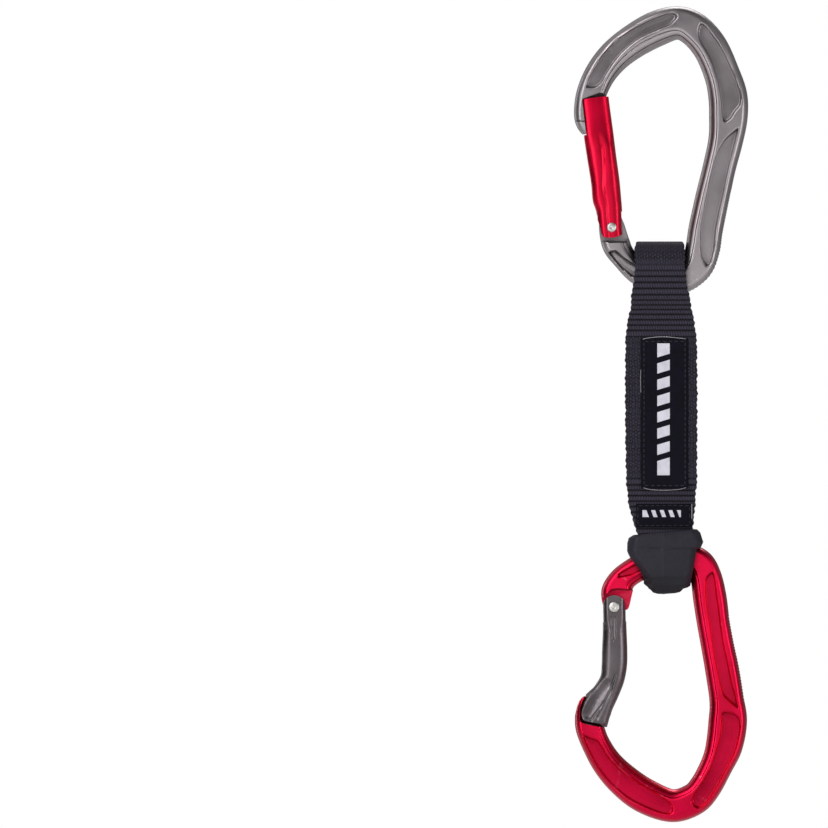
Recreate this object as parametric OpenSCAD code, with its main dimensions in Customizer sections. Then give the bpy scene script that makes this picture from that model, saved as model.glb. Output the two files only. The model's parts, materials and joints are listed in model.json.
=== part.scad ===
// Climbing quickdraw: two forged carabiners joined by a sewn webbing sling.
// Millimetres. +Z is up: the draw hangs from the basket of its upper carabiner.
// The origin is the top of that basket's inner face, where a bolt hanger bears.
// The front, with the long label, faces -Y. The gates are on the -X side.

/* [Carabiners] */
// Half the thickness of the forged bars in their baskets
basket_half = 5.0; // [4.6:0.1:5.1]
// Depth of the forged pockets in each face of the bars
pocket_depth = 1.6; // [0.2:0.1:2.0]
// Half the thickness of the gates
gate_half = 4.3; // [4.0:0.1:4.5]
// Half the thickness of the tab that each gate's fork straddles, and of the nose stem
tab_half = 1.85; // [1.5:0.05:1.9]
// Shaft radius of the gate rivets
rivet_shaft = 1.5; // [1.3:0.05:1.6]

/* [Gate springs] */
// Wire radius of the springs
wire = 0.35; // [0.25:0.05:0.4]
// Turns of each spring
turns = 7; // [5:1:9]

/* [Sling] */
// Length added to the middle of the sling, over the 12 cm one
extra_length = 0; // [0:5:120]
// Thickness of one layer of webbing
webbing = 2.2; // [1.8:0.1:2.3]
// Thickness of the two sewn labels
label_thickness = 0.7; // [0.4:0.05:0.8]
// Height of the sewing thread above the surface that it holds
thread = 0.3; // [0.15:0.05:0.4]

/* [Keeper] */
// Wall of the rubber keeper beside the webbing
keeper_wall = 1.9; // [1.5:0.1:2.2]

/* [Hidden] */
$fn = 48;

// running clearance round the rivets, and the gap between a gate and its carabiner
fit = 0.05;
gap = 0.4;
// the gates' hinge axes, and how far the upper gate leans from the vertical
upper_pivot = [-23.5, -68.6];
lower_pivot = [-22.6, -207.1];
gate_lean = 7.1;
// free ends of the gates, and ends of the noses that they close on, from their hinges
upper_gate_end = 47.4;
upper_nose_end = 35.4;
lower_gate_end = 43.6;
lower_nose_end = 34.3;
// flat top of the hinge tabs, which the plungers press on
cam = 3.9;
plunger_tip = 1.0;
plunger_radius = 1.6;
// where the sling bends: just below the upper loop, and just above the lower loop
upper_flex = -102;
lower_flex = -166.5;
flex_gap = 0.45;
// inside of the loops, which go round the bars
loop_half = 5.3;
loop_outside = loop_half + webbing;
// the straps bulge over the piece of webbing that is sewn between them
strap_out = 1.5 * webbing + 0.05;
// side edges of the sling
sling_left = -18.4;
sling_right = 7.7;

// Forged bars: rows of [x, z, half width, half thickness as a share, pocket as a share]
upper_rows = [
    [-31.6, -34.3, 2.4, 0.64, 0], [-32.1, -31, 4.1, 0.84, 0], [-32.2, -26.5, 4.8, 0.88, 0],
    [-30.9, -19.9, 5.2, 0.9, 0.2], [-27.8, -12.9, 5.4, 0.92, 0.9], [-22.9, -6.6, 5.7, 0.94, 1],
    [-16.2, -1.2, 6, 0.96, 1], [-7.3, 3.8, 6.3, 1, 0.6], [0.6, 6, 5.9, 1, 0],
    [6.8, 3.5, 6.1, 1, 0.5], [12.5, -3, 6.2, 0.98, 1], [16.6, -12.2, 6.3, 0.96, 1],
    [18.9, -20.6, 6.9, 0.94, 1], [19.1, -28.6, 6.8, 0.94, 0.6], [18.1, -37, 6.1, 0.92, 0.9],
    [15.7, -47.2, 5.8, 0.92, 1], [13.2, -58.2, 6, 0.92, 1], [10.9, -69.2, 6.1, 0.92, 1],
    [9.7, -76.8, 6.1, 0.94, 0.7], [7.5, -83.1, 5.6, 0.96, 0], [2.2, -87.8, 4.7, 0.96, 0],
    [-5.4, -89.4, 4.2, 0.96, 0], [-13.5, -85.4, 4.1, 0.96, 0], [-18.9, -79.6, 4.3, 0.94, 0],
    [-21.8, -74.8, 4.9, 0.92, 0],
    [upper_pivot.x + 0.1, upper_pivot.y, 4.5, 0.92, 0],
    [upper_pivot.x - cam * sin(gate_lean), upper_pivot.y + cam * cos(gate_lean), 3.7, 0.92, 0]
];
lower_rows = [
    [-32.6, -239.5, 1.9, 0.64, 0], [-32.9, -242.2, 2.9, 0.8, 0], [-32.9, -246, 3.8, 0.88, 0],
    [-31.6, -250.8, 4.9, 0.9, 0.2], [-29.2, -257.1, 4.9, 0.92, 0.8], [-25, -264.2, 5.3, 0.94, 1],
    [-18.9, -270.6, 5.9, 0.96, 1], [-11.2, -276.1, 6.2, 0.98, 0.8], [-1.6, -279.6, 5.8, 1, 0],
    [6.1, -277.5, 5.7, 1, 0.6], [10.6, -272.9, 5.6, 0.98, 0.9], [14.9, -264.8, 5.7, 0.96, 1],
    [17.6, -257.7, 6.5, 0.94, 1], [18.9, -248.8, 6.8, 0.94, 0.7], [18.5, -240.8, 6.1, 0.92, 0.8],
    [16.9, -230.2, 6, 0.92, 1], [15.1, -220.8, 5.8, 0.92, 1], [13.5, -211.9, 5.8, 0.92, 1],
    [12.3, -203.5, 5.9, 0.92, 0.9], [10.9, -196.1, 5.5, 0.92, 0.4], [8.2, -191.1, 5.2, 0.94, 0],
    [2.5, -188.9, 4.9, 0.94, 0], [-4.2, -189.2, 4.7, 0.94, 0], [-10.4, -191.4, 4.8, 0.94, 0],
    [-16.4, -194.6, 4.5, 0.94, 0], [-20.4, -197.6, 4.4, 0.92, 0], [-22.2, -201.5, 4.7, 0.92, 0],
    [lower_pivot.x + 0.1, lower_pivot.y, 4.1, 0.92, 0],
    [lower_pivot.x, lower_pivot.y - cam, 3.5, 0.92, 0]
];
// Gates, from their own hinge axis: the upper one up its lean, the lower one straight down
upper_gate_rows = [
    [-0.5, -5.5, 4.3, 0.96, 0], [-0.5, 0, 4.5, 1, 0], [-0.1, 6, 4.7, 1, 0],
    [-0.4, 10.5, 5.2, 1, 0], [-0.2, 17, 5.2, 1, 0], [-0.4, 26, 5.3, 1, 0], [-0.5, 34, 5.4, 1, 0],
    [-0.1, 43, 4.9, 0.98, 0], [0, 50, 4.8, 0.96, 0]
];
lower_gate_rows = [
    [0.1, 5.5, 4.2, 0.96, 0], [0.1, 0, 4.2, 1, 0], [0.25, -8, 4.3, 1, 0], [0.25, -16, 4.6, 1, 0],
    [0.1, -21.5, 4.6, 1, 0], [-0.7, -26.5, 4.4, 1, 0], [-3.15, -31.6, 4.8, 1, 0],
    [-6.45, -37, 5.5, 0.98, 0], [-7.6, -42.6, 5, 0.98, 0], [-8.8, -47.5, 4.6, 0.96, 0]
];

// A smooth curve through four values, and its slope, at t of the way from b to c
function smooth(a, b, c, d, t) =
    0.5 * (2 * b + (c - a) * t + (2 * a - 5 * b + 4 * c - d) * t * t
    + (3 * b - a - 3 * c + d) * t * t * t);
function slope(a, b, c, d, t) =
    0.5 * (c - a + 2 * (2 * a - 5 * b + 4 * c - d) * t + 3 * (3 * b - a - 3 * c + d) * t * t);

// Half of a bar's section: a rounded edge, then the land, then the floor of the pocket
function half_section(w, h, d) = [
    [-w, 0.38 * h], [-0.93 * w, 0.72 * h], [-0.79 * w, 0.93 * h], [-0.64 * w, h],
    [-0.5 * w, h - d], [0.5 * w, h - d],
    [0.64 * w, h], [0.79 * w, 0.93 * h], [0.93 * w, 0.72 * h], [w, 0.38 * h]
];
function section(w, h, d) = let (half = half_section(w, h, d))
    concat(half, [for (k = [len(half) - 1:-1:0]) [half[k].x, -half[k].y]]);
function bar_ring(row, way, h, d) = let (t = way / norm(way))
    [for (p = section(row[2], row[3] * h, max(row[4], 0) * d))
        [row[0] - p.x * t.y, p.y, row[1] + p.x * t.x]];
function bar_rings(rows, steps, h, d) = let (n = len(rows) - 1)
    [for (k = [0:n - 1], s = [0:(k == n - 1 ? steps : steps - 1)])
        let (a = rows[max(k - 1, 0)], b = rows[k], c = rows[k + 1], e = rows[min(k + 2, n)])
        let (way = slope(a, b, c, e, s / steps))
        bar_ring(smooth(a, b, c, e, s / steps), [way[0], way[1]], h, d)];

// Closed solid through rings of points, with flat ends
module skin(rings) {
    m = len(rings[0]);
    n = len(rings) - 1;
    polyhedron(
        points = [for (r = rings) each r],
        faces = concat(
            [[for (j = [0:m - 1]) j]],
            [[for (j = [m - 1:-1:0]) n * m + j]],
            [for (i = [0:n - 1], j = [0:m - 1], half = [0, 1])
                let (a = i * m + j, b = i * m + (j + 1) % m)
                half == 0 ? [b, a, a + m] : [b, a + m, b + m]]
        ),
        convexity = 8
    );
}

module bar(rows, steps, h, d = 0) {
    skin(bar_rings(rows, steps, h, d));
}

// Round rod along Y, centred on a hinge axis
module rod(at, r, half) {
    translate([at.x, 0, at.y])
        rotate([90, 0, 0])
            cylinder(r = r, h = 2 * half, center = true, $fn = 96);
}

// Box given by its lowest and highest corners
module block(lo, hi) {
    translate(lo)
        cube(hi - lo);
}

// Plate in the XZ plane from an outline, between two depths
module plate(outline, y0, y1) {
    translate([0, y1, 0])
        rotate([90, 0, 0])
            linear_extrude(y1 - y0)
                polygon(outline);
}

// Profile in the YZ plane, carried along X
module along_x(x0, x1) {
    translate([x0, 0, 0])
        rotate([90, 0, 90])
            linear_extrude(x1 - x0)
                children();
}

// The bar is thinned to a tab where the gate's fork swings round it. way is 1 where the
// gate rises from its hinge, and -1 where it hangs down from it.
module fork_room(pivot, r, way) {
    difference() {
        union() {
            rod(pivot, r, 12);
            block([pivot.x - 9, -12, pivot.y - (way < 0 ? 9 : 0)],
                [pivot.x + 9, 12, pivot.y + (way < 0 ? 0 : 9)]);
        }
        block([pivot.x - 20, -tab_half, pivot.y - 20], [pivot.x + 20, tab_half, pivot.y + 20]);
    }
}

// What the rivet, the gate's end and the nose's stem leave of the upper bar
module upper_body() {
    color([0.55, 0.52, 0.54])
        difference() {
            bar(upper_rows, 2, basket_half, pocket_depth);
            fork_room(upper_pivot, 5.1 + gap, 1);
            rod(upper_pivot, rivet_shaft + 0.02, 12);
            // room for the gate's free end, except for the nose's stem and head
            difference() {
                intersection() {
                    rod(upper_pivot, upper_gate_end + gap, 12);
                    block([-45, -15, -45], [-18, 15, -12]);
                }
                block([-45, -tab_half, -45], [-29.6, tab_half, -12]);
                plate([[-45, -45], [-32.6, -45], [-32.9, -34], [-34.4, -20], [-45, -20]], -12, 12);
            }
            // the nose's underside is round the hinge, so the gate's step clears it
            intersection() {
                rod(upper_pivot, upper_nose_end, 12);
                block([-45, -15, -45], [-18, 15, -30]);
            }
        }
}

module upper_gate_place() {
    translate([upper_pivot.x, 0, upper_pivot.y])
        rotate([0, -gate_lean, 0])
            children();
}

module upper_gate() {
    color([0.75, 0.04, 0.14])
        upper_gate_place()
            difference() {
                bar(upper_gate_rows, 2, gate_half);
                // rounded ends
                difference() {
                    block([-12, -12, -12], [12, 12, 0]);
                    rod([0, 0], 4.8, 14);
                }
                difference() {
                    block([-12, -12, 30], [12, 12, 60]);
                    rod([0, 0], upper_gate_end, 14);
                }
                // fork over the hinge tab
                intersection() {
                    rod([0, 0], 6.9, 12);
                    block([-12, -tab_half - 0.3, -12], [12, tab_half + 0.3, 12]);
                }
                // slot for the nose's stem, and the step that clears the nose's head
                difference() {
                    union() {
                        block([-12, -tab_half - 0.3, 20], [0.2, tab_half + 0.3, 60]);
                        block([-12, -12, 20], [-4.8, 12, 60]);
                    }
                    rod([0, 0], upper_nose_end - gap, 14);
                }
                rivet_room([0, 0], 1.75);
                translate([0, 0, 5])
                    cylinder(r = plunger_radius + 0.08, h = 19);
            }
}

// Holes for a rivet: its shaft through the ears, and its heads let into their outsides
module rivet_room(at, head) {
    rod(at, rivet_shaft + fit, 12);
    translate([at.x, gate_half - 0.8, at.y])
        rotate([-90, 0, 0])
            cylinder(r = head + fit, h = 4);
    translate([at.x, 0.8 - gate_half, at.y])
        rotate([90, 0, 0])
            cylinder(r = head + fit, h = 4);
}

module rivet(at, head) {
    rod(at, rivet_shaft, gate_half - 0.4);
    for (side = [-1, 1])
        translate([at.x, side * (gate_half - 0.75), at.y])
            rotate([-90 * side, 0, 0])
                rotate_extrude()
                    polygon([[0, -0.6], [rivet_shaft - 0.1, -0.6], [rivet_shaft - 0.1, 0],
                        [head - 0.1, 0], [head, 0.1], [head, 0.55], [0.8 * head, 0.8], [0.4 * head, 0.95], [0, 1]]);
}

module upper_rivet() {
    color([0.78, 0.77, 0.75])
        rivet(upper_pivot, 1.75);
}

// Pin that the spring pushes against the flat top of the hinge tab
module plunger() {
    translate([0, 0, cam + 0.03])
        rotate_extrude()
            polygon([[0, 0], [0.38, 0.08], [0.71, 0.29], [0.92, 0.62], [plunger_tip, plunger_tip],
                [plunger_tip, 2.4], [plunger_radius, 2.9], [plunger_radius, 8], [0, 8]]);
}

module upper_plunger() {
    color([0.8, 0.8, 0.82])
        upper_gate_place()
            plunger();
}

function coil_point(k, per_turn, low, high) = let (a = 360 * k / per_turn)
    [1.15 * cos(a), 1.15 * sin(a), low + (high - low) * k / (per_turn * turns)];
function coil_ring(k, per_turn, low, high) =
    let (c = coil_point(k, per_turn, low, high))
    let (t = coil_point(k + 0.5, per_turn, low, high) - coil_point(k - 0.5, per_turn, low, high))
    let (out = [c.x, c.y, 0] / 1.15)
    let (up = cross(out, t) / norm(t))
    [for (j = [0:7]) c + wire * (cos(45 * j) * out + sin(45 * j) * up)];

// Coil spring between the plunger and the blind end of its bore
module coil(low, high) {
    per_turn = 12;
    skin([for (k = [0:per_turn * turns]) coil_ring(k, per_turn, low + wire, high - wire)]);
}

module upper_spring() {
    color([0.7, 0.7, 0.72])
        upper_gate_place()
            coil(cam + 8.1, 23.9);
}

// Everything below the sling's middle moves down when the sling is made longer
module below() {
    translate([0, 0, -extra_length])
        children();
}

module lower_body() {
    color([0.72, 0.04, 0.14])
        below()
            difference() {
                bar(lower_rows, 2, basket_half, pocket_depth);
                fork_room(lower_pivot, 4.9 + gap, -1);
                rod(lower_pivot, rivet_shaft + 0.02, 12);
                difference() {
                    intersection() {
                        rod(lower_pivot, lower_gate_end + gap, 12);
                        block([-45, -15, -262], [-18, 15, -230]);
                    }
                    block([-45, -tab_half, -262], [-29.6, tab_half, -230]);
                    plate([[-45, -230], [-33, -230], [-33, -239.3], [-34.35, -241.3], [-35.2, -244],
                        [-35.3, -249.5], [-45, -256]], -12, 12);
                }
                intersection() {
                    rod(lower_pivot, lower_nose_end, 12);
                    block([-45, -15, -262], [-18, 15, -230]);
                }
            }
}

module lower_gate_place() {
    below()
        translate([lower_pivot.x, 0, lower_pivot.y])
            children();
}

module lower_gate() {
    color([0.32, 0.3, 0.31])
        lower_gate_place()
            difference() {
                bar(lower_gate_rows, 2, gate_half);
                difference() {
                    block([-12, -12, 0], [12, 12, 12]);
                    rod([0, 0], 4.4, 14);
                }
                difference() {
                    block([-30, -12, -60], [12, 12, -30]);
                    rod([0, 0], lower_gate_end, 14);
                }
                intersection() {
                    rod([0, 0], 6.9, 12);
                    block([-12, -tab_half - 0.3, -12], [12, tab_half + 0.3, 12]);
                }
                difference() {
                    union() {
                        block([-20, -tab_half - 0.3, -60], [-6.6, tab_half + 0.3, -20]);
                        translate([-lower_pivot.x, 0, -lower_pivot.y])
                            plate([[-45, -230], [-32.6, -230], [-32.6, -239.3], [-33.95, -241.3],
                                [-34.8, -244], [-34.9, -249.5], [-45, -256]], -12, 12);
                    }
                    rod([0, 0], lower_nose_end - gap, 14);
                }
                rivet_room([0, 0], 2);
                translate([0.2, 0, -24])
                    cylinder(r = plunger_radius + 0.08, h = 19);
            }
}

module lower_rivet() {
    color([0.78, 0.77, 0.75])
        below()
            rivet(lower_pivot, 2);
}

module lower_plunger() {
    color([0.8, 0.8, 0.82])
        lower_gate_place()
            translate([0.2, 0, 0])
                mirror([0, 0, 1])
                    plunger();
}

module lower_spring() {
    color([0.7, 0.7, 0.72])
        lower_gate_place()
            translate([0.2, 0, 0])
                coil(-23.9, -cam - 8.1);
}

// YZ outline of a loop: a round arch, legs beside the bar, then legs that close together.
// toward is 1 where the arch is above its legs, and -1 where it is below them.
function loop_outline(r, arch, legs, tip, toward) = concat(
    [for (a = [0:9:180]) [r * cos(a), arch + toward * r * sin(a)]],
    [[-r, legs]], tip, [[r, legs]]);

module loop_outside_profile(arch, legs, end, toward, grow = 0) {
    tip = [[-webbing - grow, end], [webbing + grow, end]];
    polygon(loop_outline(loop_outside + grow, arch, legs, tip, toward));
}

module loop_inside_profile(arch, legs, end, toward) {
    tip = [[0, end + 0.8 * toward]];
    polygon(loop_outline(loop_half, arch, legs + 0.6 * toward, tip, toward));
}

module upper_loop() {
    end = upper_flex + webbing + flex_gap;
    color([0.17, 0.17, 0.2])
        intersection() {
            along_x(-30, 20)
                difference() {
                    loop_outside_profile(-81.2, -92.2, end, 1);
                    loop_inside_profile(-81.2, -92.2, end, 1);
                }
            plate([[-13.5, -73], [1.6, -73], [3.1, -75.2], [3.3, -86], [4.2, -91], [5.5, -97],
                [5.9, -99.3], [5.9, -101], [-16.8, -101], [-16.8, -99.3], [-16.4, -97],
                [-15.9, -91], [-15.1, -86], [-15, -75.2]], -12, 12);
        }
}

// Side outline of the sling's middle
module strap_outline() {
    low = -extra_length;
    plate([[-17.2, -99], [6.1, -99], [6.9, -104.2], [7.6, -110], [sling_right, -146 + low],
        [7.6, -161 + low], [7.3, -170 + low], [-17.6, -170 + low], [-18.1, -161 + low],
        [sling_left, -146 + low], [sling_left, -110], [-17.9, -104.2]], -12, 12);
}

// Front layer of the middle. It lies on the sewn overlap, and its ends are round the bends.
module strap_layer() {
    low = lower_flex - extra_length;
    along_x(-30, 20) {
        intersection() {
            translate([0, upper_flex])
                circle(r = webbing, $fn = 64);
            translate([-5, upper_flex - 0.01])
                square([5 - 0.03, 5]);
        }
        intersection() {
            translate([0, low])
                circle(r = webbing, $fn = 64);
            translate([-5, low - 5])
                square([5 - 0.03, 5.01]);
        }
        polygon([[-0.03, upper_flex], [-webbing, upper_flex], [-webbing, upper_flex - 2.2],
            [-strap_out, upper_flex - 5.2], [-strap_out, low + 3.9], [-webbing, low + 1.4],
            [-webbing, low], [-0.03, low], [-0.03, low + 1.4], [0.04 - webbing / 2, low + 3.9],
            [0.04 - webbing / 2 - 0.1, low + 5], [0.04 - webbing / 2 - 0.1, upper_flex - 6.2],
            [0.04 - webbing / 2, upper_flex - 5.2], [-0.03, upper_flex - 2.6]]);
    }
}

module front_strap() {
    color([0.19, 0.18, 0.22])
        intersection() {
            strap_layer();
            strap_outline();
        }
}

module back_strap() {
    color([0.17, 0.17, 0.2])
        intersection() {
            mirror([0, 1, 0])
                strap_layer();
            strap_outline();
        }
}

// The end of the webbing that is sewn between the front and back layers
module overlap_strap() {
    color([0.15, 0.15, 0.18])
        plate([[-17.9, -109], [7.2, -109], [7.2, -160 - extra_length], [-17.9, -160 - extra_length]],
            -webbing / 2, webbing / 2);
}

module lower_loop() {
    end = lower_flex - webbing - flex_gap;
    color([0.17, 0.17, 0.2])
        below()
            intersection() {
                along_x(-30, 20)
                    difference() {
                        loop_outside_profile(-193.3, -184.5, end, -1);
                        loop_inside_profile(-193.3, -184.5, end, -1);
                    }
                lower_loop_outline(0);
            }
}

module lower_loop_outline(grow) {
    plate([[-17.5 - grow, -168], [7.1 + grow, -168], [6.8 + grow, -172.5], [5.8 + grow, -180],
        [5.4 + grow, -188], [2.4 + grow, -201 - grow], [-9.6 - grow, -201 - grow],
        [-13.6 - grow, -188], [-14.2 - grow, -180], [-16.6 - grow, -172.5]], -12, 12);
}

module long_label() {
    color([0.1, 0.1, 0.14])
        plate([[-12.3, -109.1], [3.9, -109.1], [4.4, -109.6], [4.4, -163.5 - extra_length],
            [3.9, -163.9 - extra_length], [-12.3, -163.9 - extra_length],
            [-12.8, -163.5 - extra_length], [-12.8, -109.6]],
            -strap_out - 0.05 - label_thickness, -strap_out - 0.05);
}

// Closed row of stitches, as a frame just inside a label's edge
module stitch_frame(x0, x1, z0, z1, y) {
    difference() {
        block([x0, y - thread, z0], [x1, y, z1]);
        block([x0 + 0.5, y - 2, z0 + 0.5], [x1 - 0.5, y + 2, z1 - 0.5]);
    }
}

module long_label_stitching() {
    color([0.6, 0.6, 0.66])
        stitch_frame(-11.9, 3.5, -163 - extra_length, -110, -strap_out - 0.07 - label_thickness);
}

// Dense rows of thread that hold the three layers together, on the back
module bar_tacks() {
    color([0.28, 0.27, 0.32])
        for (z = [-113, -118, -123, -149 - extra_length, -154 - extra_length, -159 - extra_length])
            plate([[-13.6, z], [3.2, z], [3.2, z - 2.4], [-13.6, z - 2.4]],
                strap_out + 0.02, strap_out + 0.02 + thread);
}

// The front leg of the lower loop slopes outward by this much for each mm down
function leg_slope() = (loop_outside - webbing) / (184.5 + lower_flex - webbing - flex_gap);
function leg_face(z) = -webbing - leg_slope() * (lower_flex - webbing - flex_gap - z);

module on_leg(x0, x1, z0, z1, inner, outer) {
    along_x(x0, x1)
        polygon([[leg_face(z1) - inner, z1], [leg_face(z1) - outer, z1],
            [leg_face(z0) - outer, z0], [leg_face(z0) - inner, z0]]);
}

module small_label() {
    color([0.1, 0.1, 0.14])
        below()
            on_leg(-14.6, 5.7, -178, -169.5, 0.08, 0.08 + label_thickness);
}

module small_label_stitching() {
    color([0.6, 0.6, 0.66])
        below()
            difference() {
                on_leg(-14, 5.1, -177.4, -170.1, 0.1 + label_thickness,
                    0.1 + label_thickness + thread);
                on_leg(-13.5, 4.6, -176.9, -170.6, 0, 4);
            }
}

// Rubber keeper: a cradle that holds the lower loop tight round the carabiner's bar
module keeper() {
    out = loop_outside + keeper_wall;
    color([0.22, 0.21, 0.24])
        below()
            difference() {
                intersection() {
                    plate([[-18.2, -184.2], [-17.9, -182.6], [-16.6, -181.1], [-14.6, -180.5],
                        [5.6, -178.4], [8.6, -179.8], [9.9, -183.7], [6.9, -190], [5.3, -195.5],
                        [5.1, -199.5], [2.8, -200.8], [2.4, -201.8], [-4, -202.8], [-9.6, -202],
                        [-11.4, -198.7], [-14, -193.6], [-16.8, -188.2], [-18, -186.2]], -12, 12);
                    along_x(-30, 20)
                        polygon([for (side = [-1, 1]) each [for (p = [[out - 1.8, -177],
                            [out - 1.1, -180], [out - 0.4, -183.5], [out, -188], [out, -193],
                            [out - 0.5, -197], [out - 1.7, -200], [out - 3.8, -203.5]])
                            side < 0 ? [-p.x, p.y] : [p.x, -380.5 - p.y]]]);
                }
                // room for the loop
                intersection() {
                    along_x(-30, 20)
                        loop_outside_profile(-193.3, -184.5,
                            lower_flex - webbing - flex_gap, -1, 0.15);
                    lower_loop_outline(0.15);
                }
                // channel for the carabiner's bar
                plate([[-40, -170], [-40, -215], [-20, -204.5], [-14.3, -199.6], [-10, -197.3],
                    [-6, -195.4], [-2, -194.5], [1, -194.5], [3.5, -195.8], [5.2, -198], [12, -212],
                    [30, -212], [30, -170]], -basket_half, basket_half);
            }
}

upper_body();
upper_gate();
upper_rivet();
upper_plunger();
upper_spring();
lower_body();
lower_gate();
lower_rivet();
lower_plunger();
lower_spring();
upper_loop();
front_strap();
back_strap();
overlap_strap();
lower_loop();
long_label();
long_label_stitching();
bar_tacks();
small_label();
small_label_stitching();
keeper();
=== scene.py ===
"""Looks of the climbing quickdraw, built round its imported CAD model.

Lengths are in mm until a mesh is made. The front faces -Y, and outlines lie in the XZ plane.
"""

import json
import math
import random

import bmesh
import bpy
import numpy as np
from mathutils import Matrix, Vector


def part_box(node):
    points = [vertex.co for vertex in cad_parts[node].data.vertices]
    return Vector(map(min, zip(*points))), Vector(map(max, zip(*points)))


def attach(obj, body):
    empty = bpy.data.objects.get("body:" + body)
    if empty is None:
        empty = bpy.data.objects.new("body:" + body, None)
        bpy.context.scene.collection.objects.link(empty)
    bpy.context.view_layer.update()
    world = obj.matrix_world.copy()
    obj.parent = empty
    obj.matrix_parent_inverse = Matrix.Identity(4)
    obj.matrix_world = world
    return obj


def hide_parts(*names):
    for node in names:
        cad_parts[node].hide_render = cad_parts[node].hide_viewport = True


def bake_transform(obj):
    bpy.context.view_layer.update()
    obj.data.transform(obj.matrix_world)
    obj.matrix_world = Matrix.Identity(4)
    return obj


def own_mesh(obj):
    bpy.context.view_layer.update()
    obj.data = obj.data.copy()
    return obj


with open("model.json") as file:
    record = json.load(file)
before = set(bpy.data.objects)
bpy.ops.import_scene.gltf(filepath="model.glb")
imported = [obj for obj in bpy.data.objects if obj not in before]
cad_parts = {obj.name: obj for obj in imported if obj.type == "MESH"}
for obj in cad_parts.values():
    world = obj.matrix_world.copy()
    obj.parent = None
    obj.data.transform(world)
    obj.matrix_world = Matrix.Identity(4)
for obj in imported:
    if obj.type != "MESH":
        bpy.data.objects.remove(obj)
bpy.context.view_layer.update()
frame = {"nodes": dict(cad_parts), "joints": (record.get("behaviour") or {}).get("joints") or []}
MM = 0.001
random.seed(7)

joints = {j["name"]: j for j in frame["joints"]}


def joint_place(name):
    """x and z, in mm, of a joint's axis"""
    at = joints[name]["pos_m"]
    return np.array([at[0], at[2]]) / MM


def box_mm(node):
    lo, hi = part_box(node)
    return np.array(lo) / MM, np.array(hi) / MM


UPPER_PIVOT = joint_place("upper_gate_hinge")
LOWER_PIVOT = joint_place("lower_gate_hinge")
UPPER_LEAN = math.radians(7.1)
LOWER_LEAN = 0


# ---------------------------------------------------------------- meshes

THROUGH = 12  # reach to each side of a cutter that goes right through


def new_object(name, verts_mm, faces):
    mesh = bpy.data.meshes.new(name)
    mesh.from_pydata((np.asarray(verts_mm, float) * MM).tolist(), [], faces)
    bm = bmesh.new()
    bm.from_mesh(mesh)
    bmesh.ops.recalc_face_normals(bm, faces=bm.faces)
    bm.to_mesh(mesh)
    bm.free()
    obj = bpy.data.objects.new(name, mesh)
    bpy.context.scene.collection.objects.link(obj)
    return obj


def skin_faces(rows, columns, offset):
    """faces between closed rings of points, and a cap on the first and the last"""
    i = np.arange(rows - 1)[:, None]
    j = np.arange(columns)[None, :]
    k = (j + 1) % columns
    quads = np.stack([i * columns + j, i * columns + k, (i + 1) * columns + k, (i + 1) * columns + j], -1)
    faces = (quads.reshape(-1, 4) + offset).tolist()
    faces.append((np.arange(columns) + offset).tolist())
    faces.append((np.arange(columns)[::-1] + (rows - 1) * columns + offset).tolist())
    return faces


def skins(name, solids):
    """closed solids as one mesh, each through its own rings of points"""
    verts, faces, count = [], [], 0
    for rings in solids:
        rings = np.asarray(rings, float)
        rows, columns = rings.shape[:2]
        faces += skin_faces(rows, columns, count)
        verts.append(rings.reshape(-1, 3))
        count += rows * columns
    return new_object(name, np.concatenate(verts), faces)


def skin(name, rings):
    return skins(name, [rings])


def plate(outline, y0=-THROUGH, y1=THROUGH):
    """prism with an outline in the XZ plane"""
    outline = np.asarray(outline, float)
    ring = np.stack([outline[:, 0], np.zeros(len(outline)), outline[:, 1]], 1)
    return skin("cutter", [ring + [0, y0, 0], ring + [0, y1, 0]])


def both_sides(outline, inner):
    """two prisms that leave the middle, between minus and plus inner, as it is"""
    return [plate(outline, -THROUGH, -inner), plate(outline, inner, THROUGH)]


def circle(count):
    angles = np.linspace(0, 2 * math.pi, count, endpoint=False)
    return np.cos(angles), np.sin(angles)


def arc(at, radius, start, end, count=48):
    a = np.radians(np.linspace(start, end, count))
    return [(at[0] + radius * math.cos(t), at[1] + radius * math.sin(t)) for t in a]


def rod(at, radius):
    c, s = circle(96)
    return plate(np.stack([at[0] + radius * c, at[1] + radius * s], 1))


def left_of(way):
    return np.stack([-way[:, 1], way[:, 0]], 1)


def beside(centre, side, n, y):
    """points at distances n to one side of a line in the XZ plane, and y from that plane"""
    return np.stack([centre[:, :1] + n * side[:, :1], y, centre[:, 1:] + n * side[:, 1:]], -1)


def carve(obj, cutters):
    for cutter in cutters:
        step = obj.modifiers.new("carve", "BOOLEAN")
        step.operation = "DIFFERENCE"
        step.solver = "MANIFOLD"
        step.object = cutter
    bpy.context.view_layer.update()
    carved = bpy.data.meshes.new_from_object(obj.evaluated_get(bpy.context.evaluated_depsgraph_get()))
    obj.modifiers.clear()
    obj.data = carved
    for cutter in cutters:
        bpy.data.objects.remove(cutter)
    return obj


def finish_piece(obj, material, body=None, replaces=(), sharp=60):
    """material and shading of a piece, the body that it moves with, and the CAD nodes that it replaces"""
    obj.data.materials.clear()
    obj.data.materials.append(material)
    obj.data.shade_smooth()
    obj.data.set_sharp_from_angle(angle=math.radians(sharp))
    if body:
        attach(obj, body)
    if replaces:
        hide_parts(*replaces)


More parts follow.
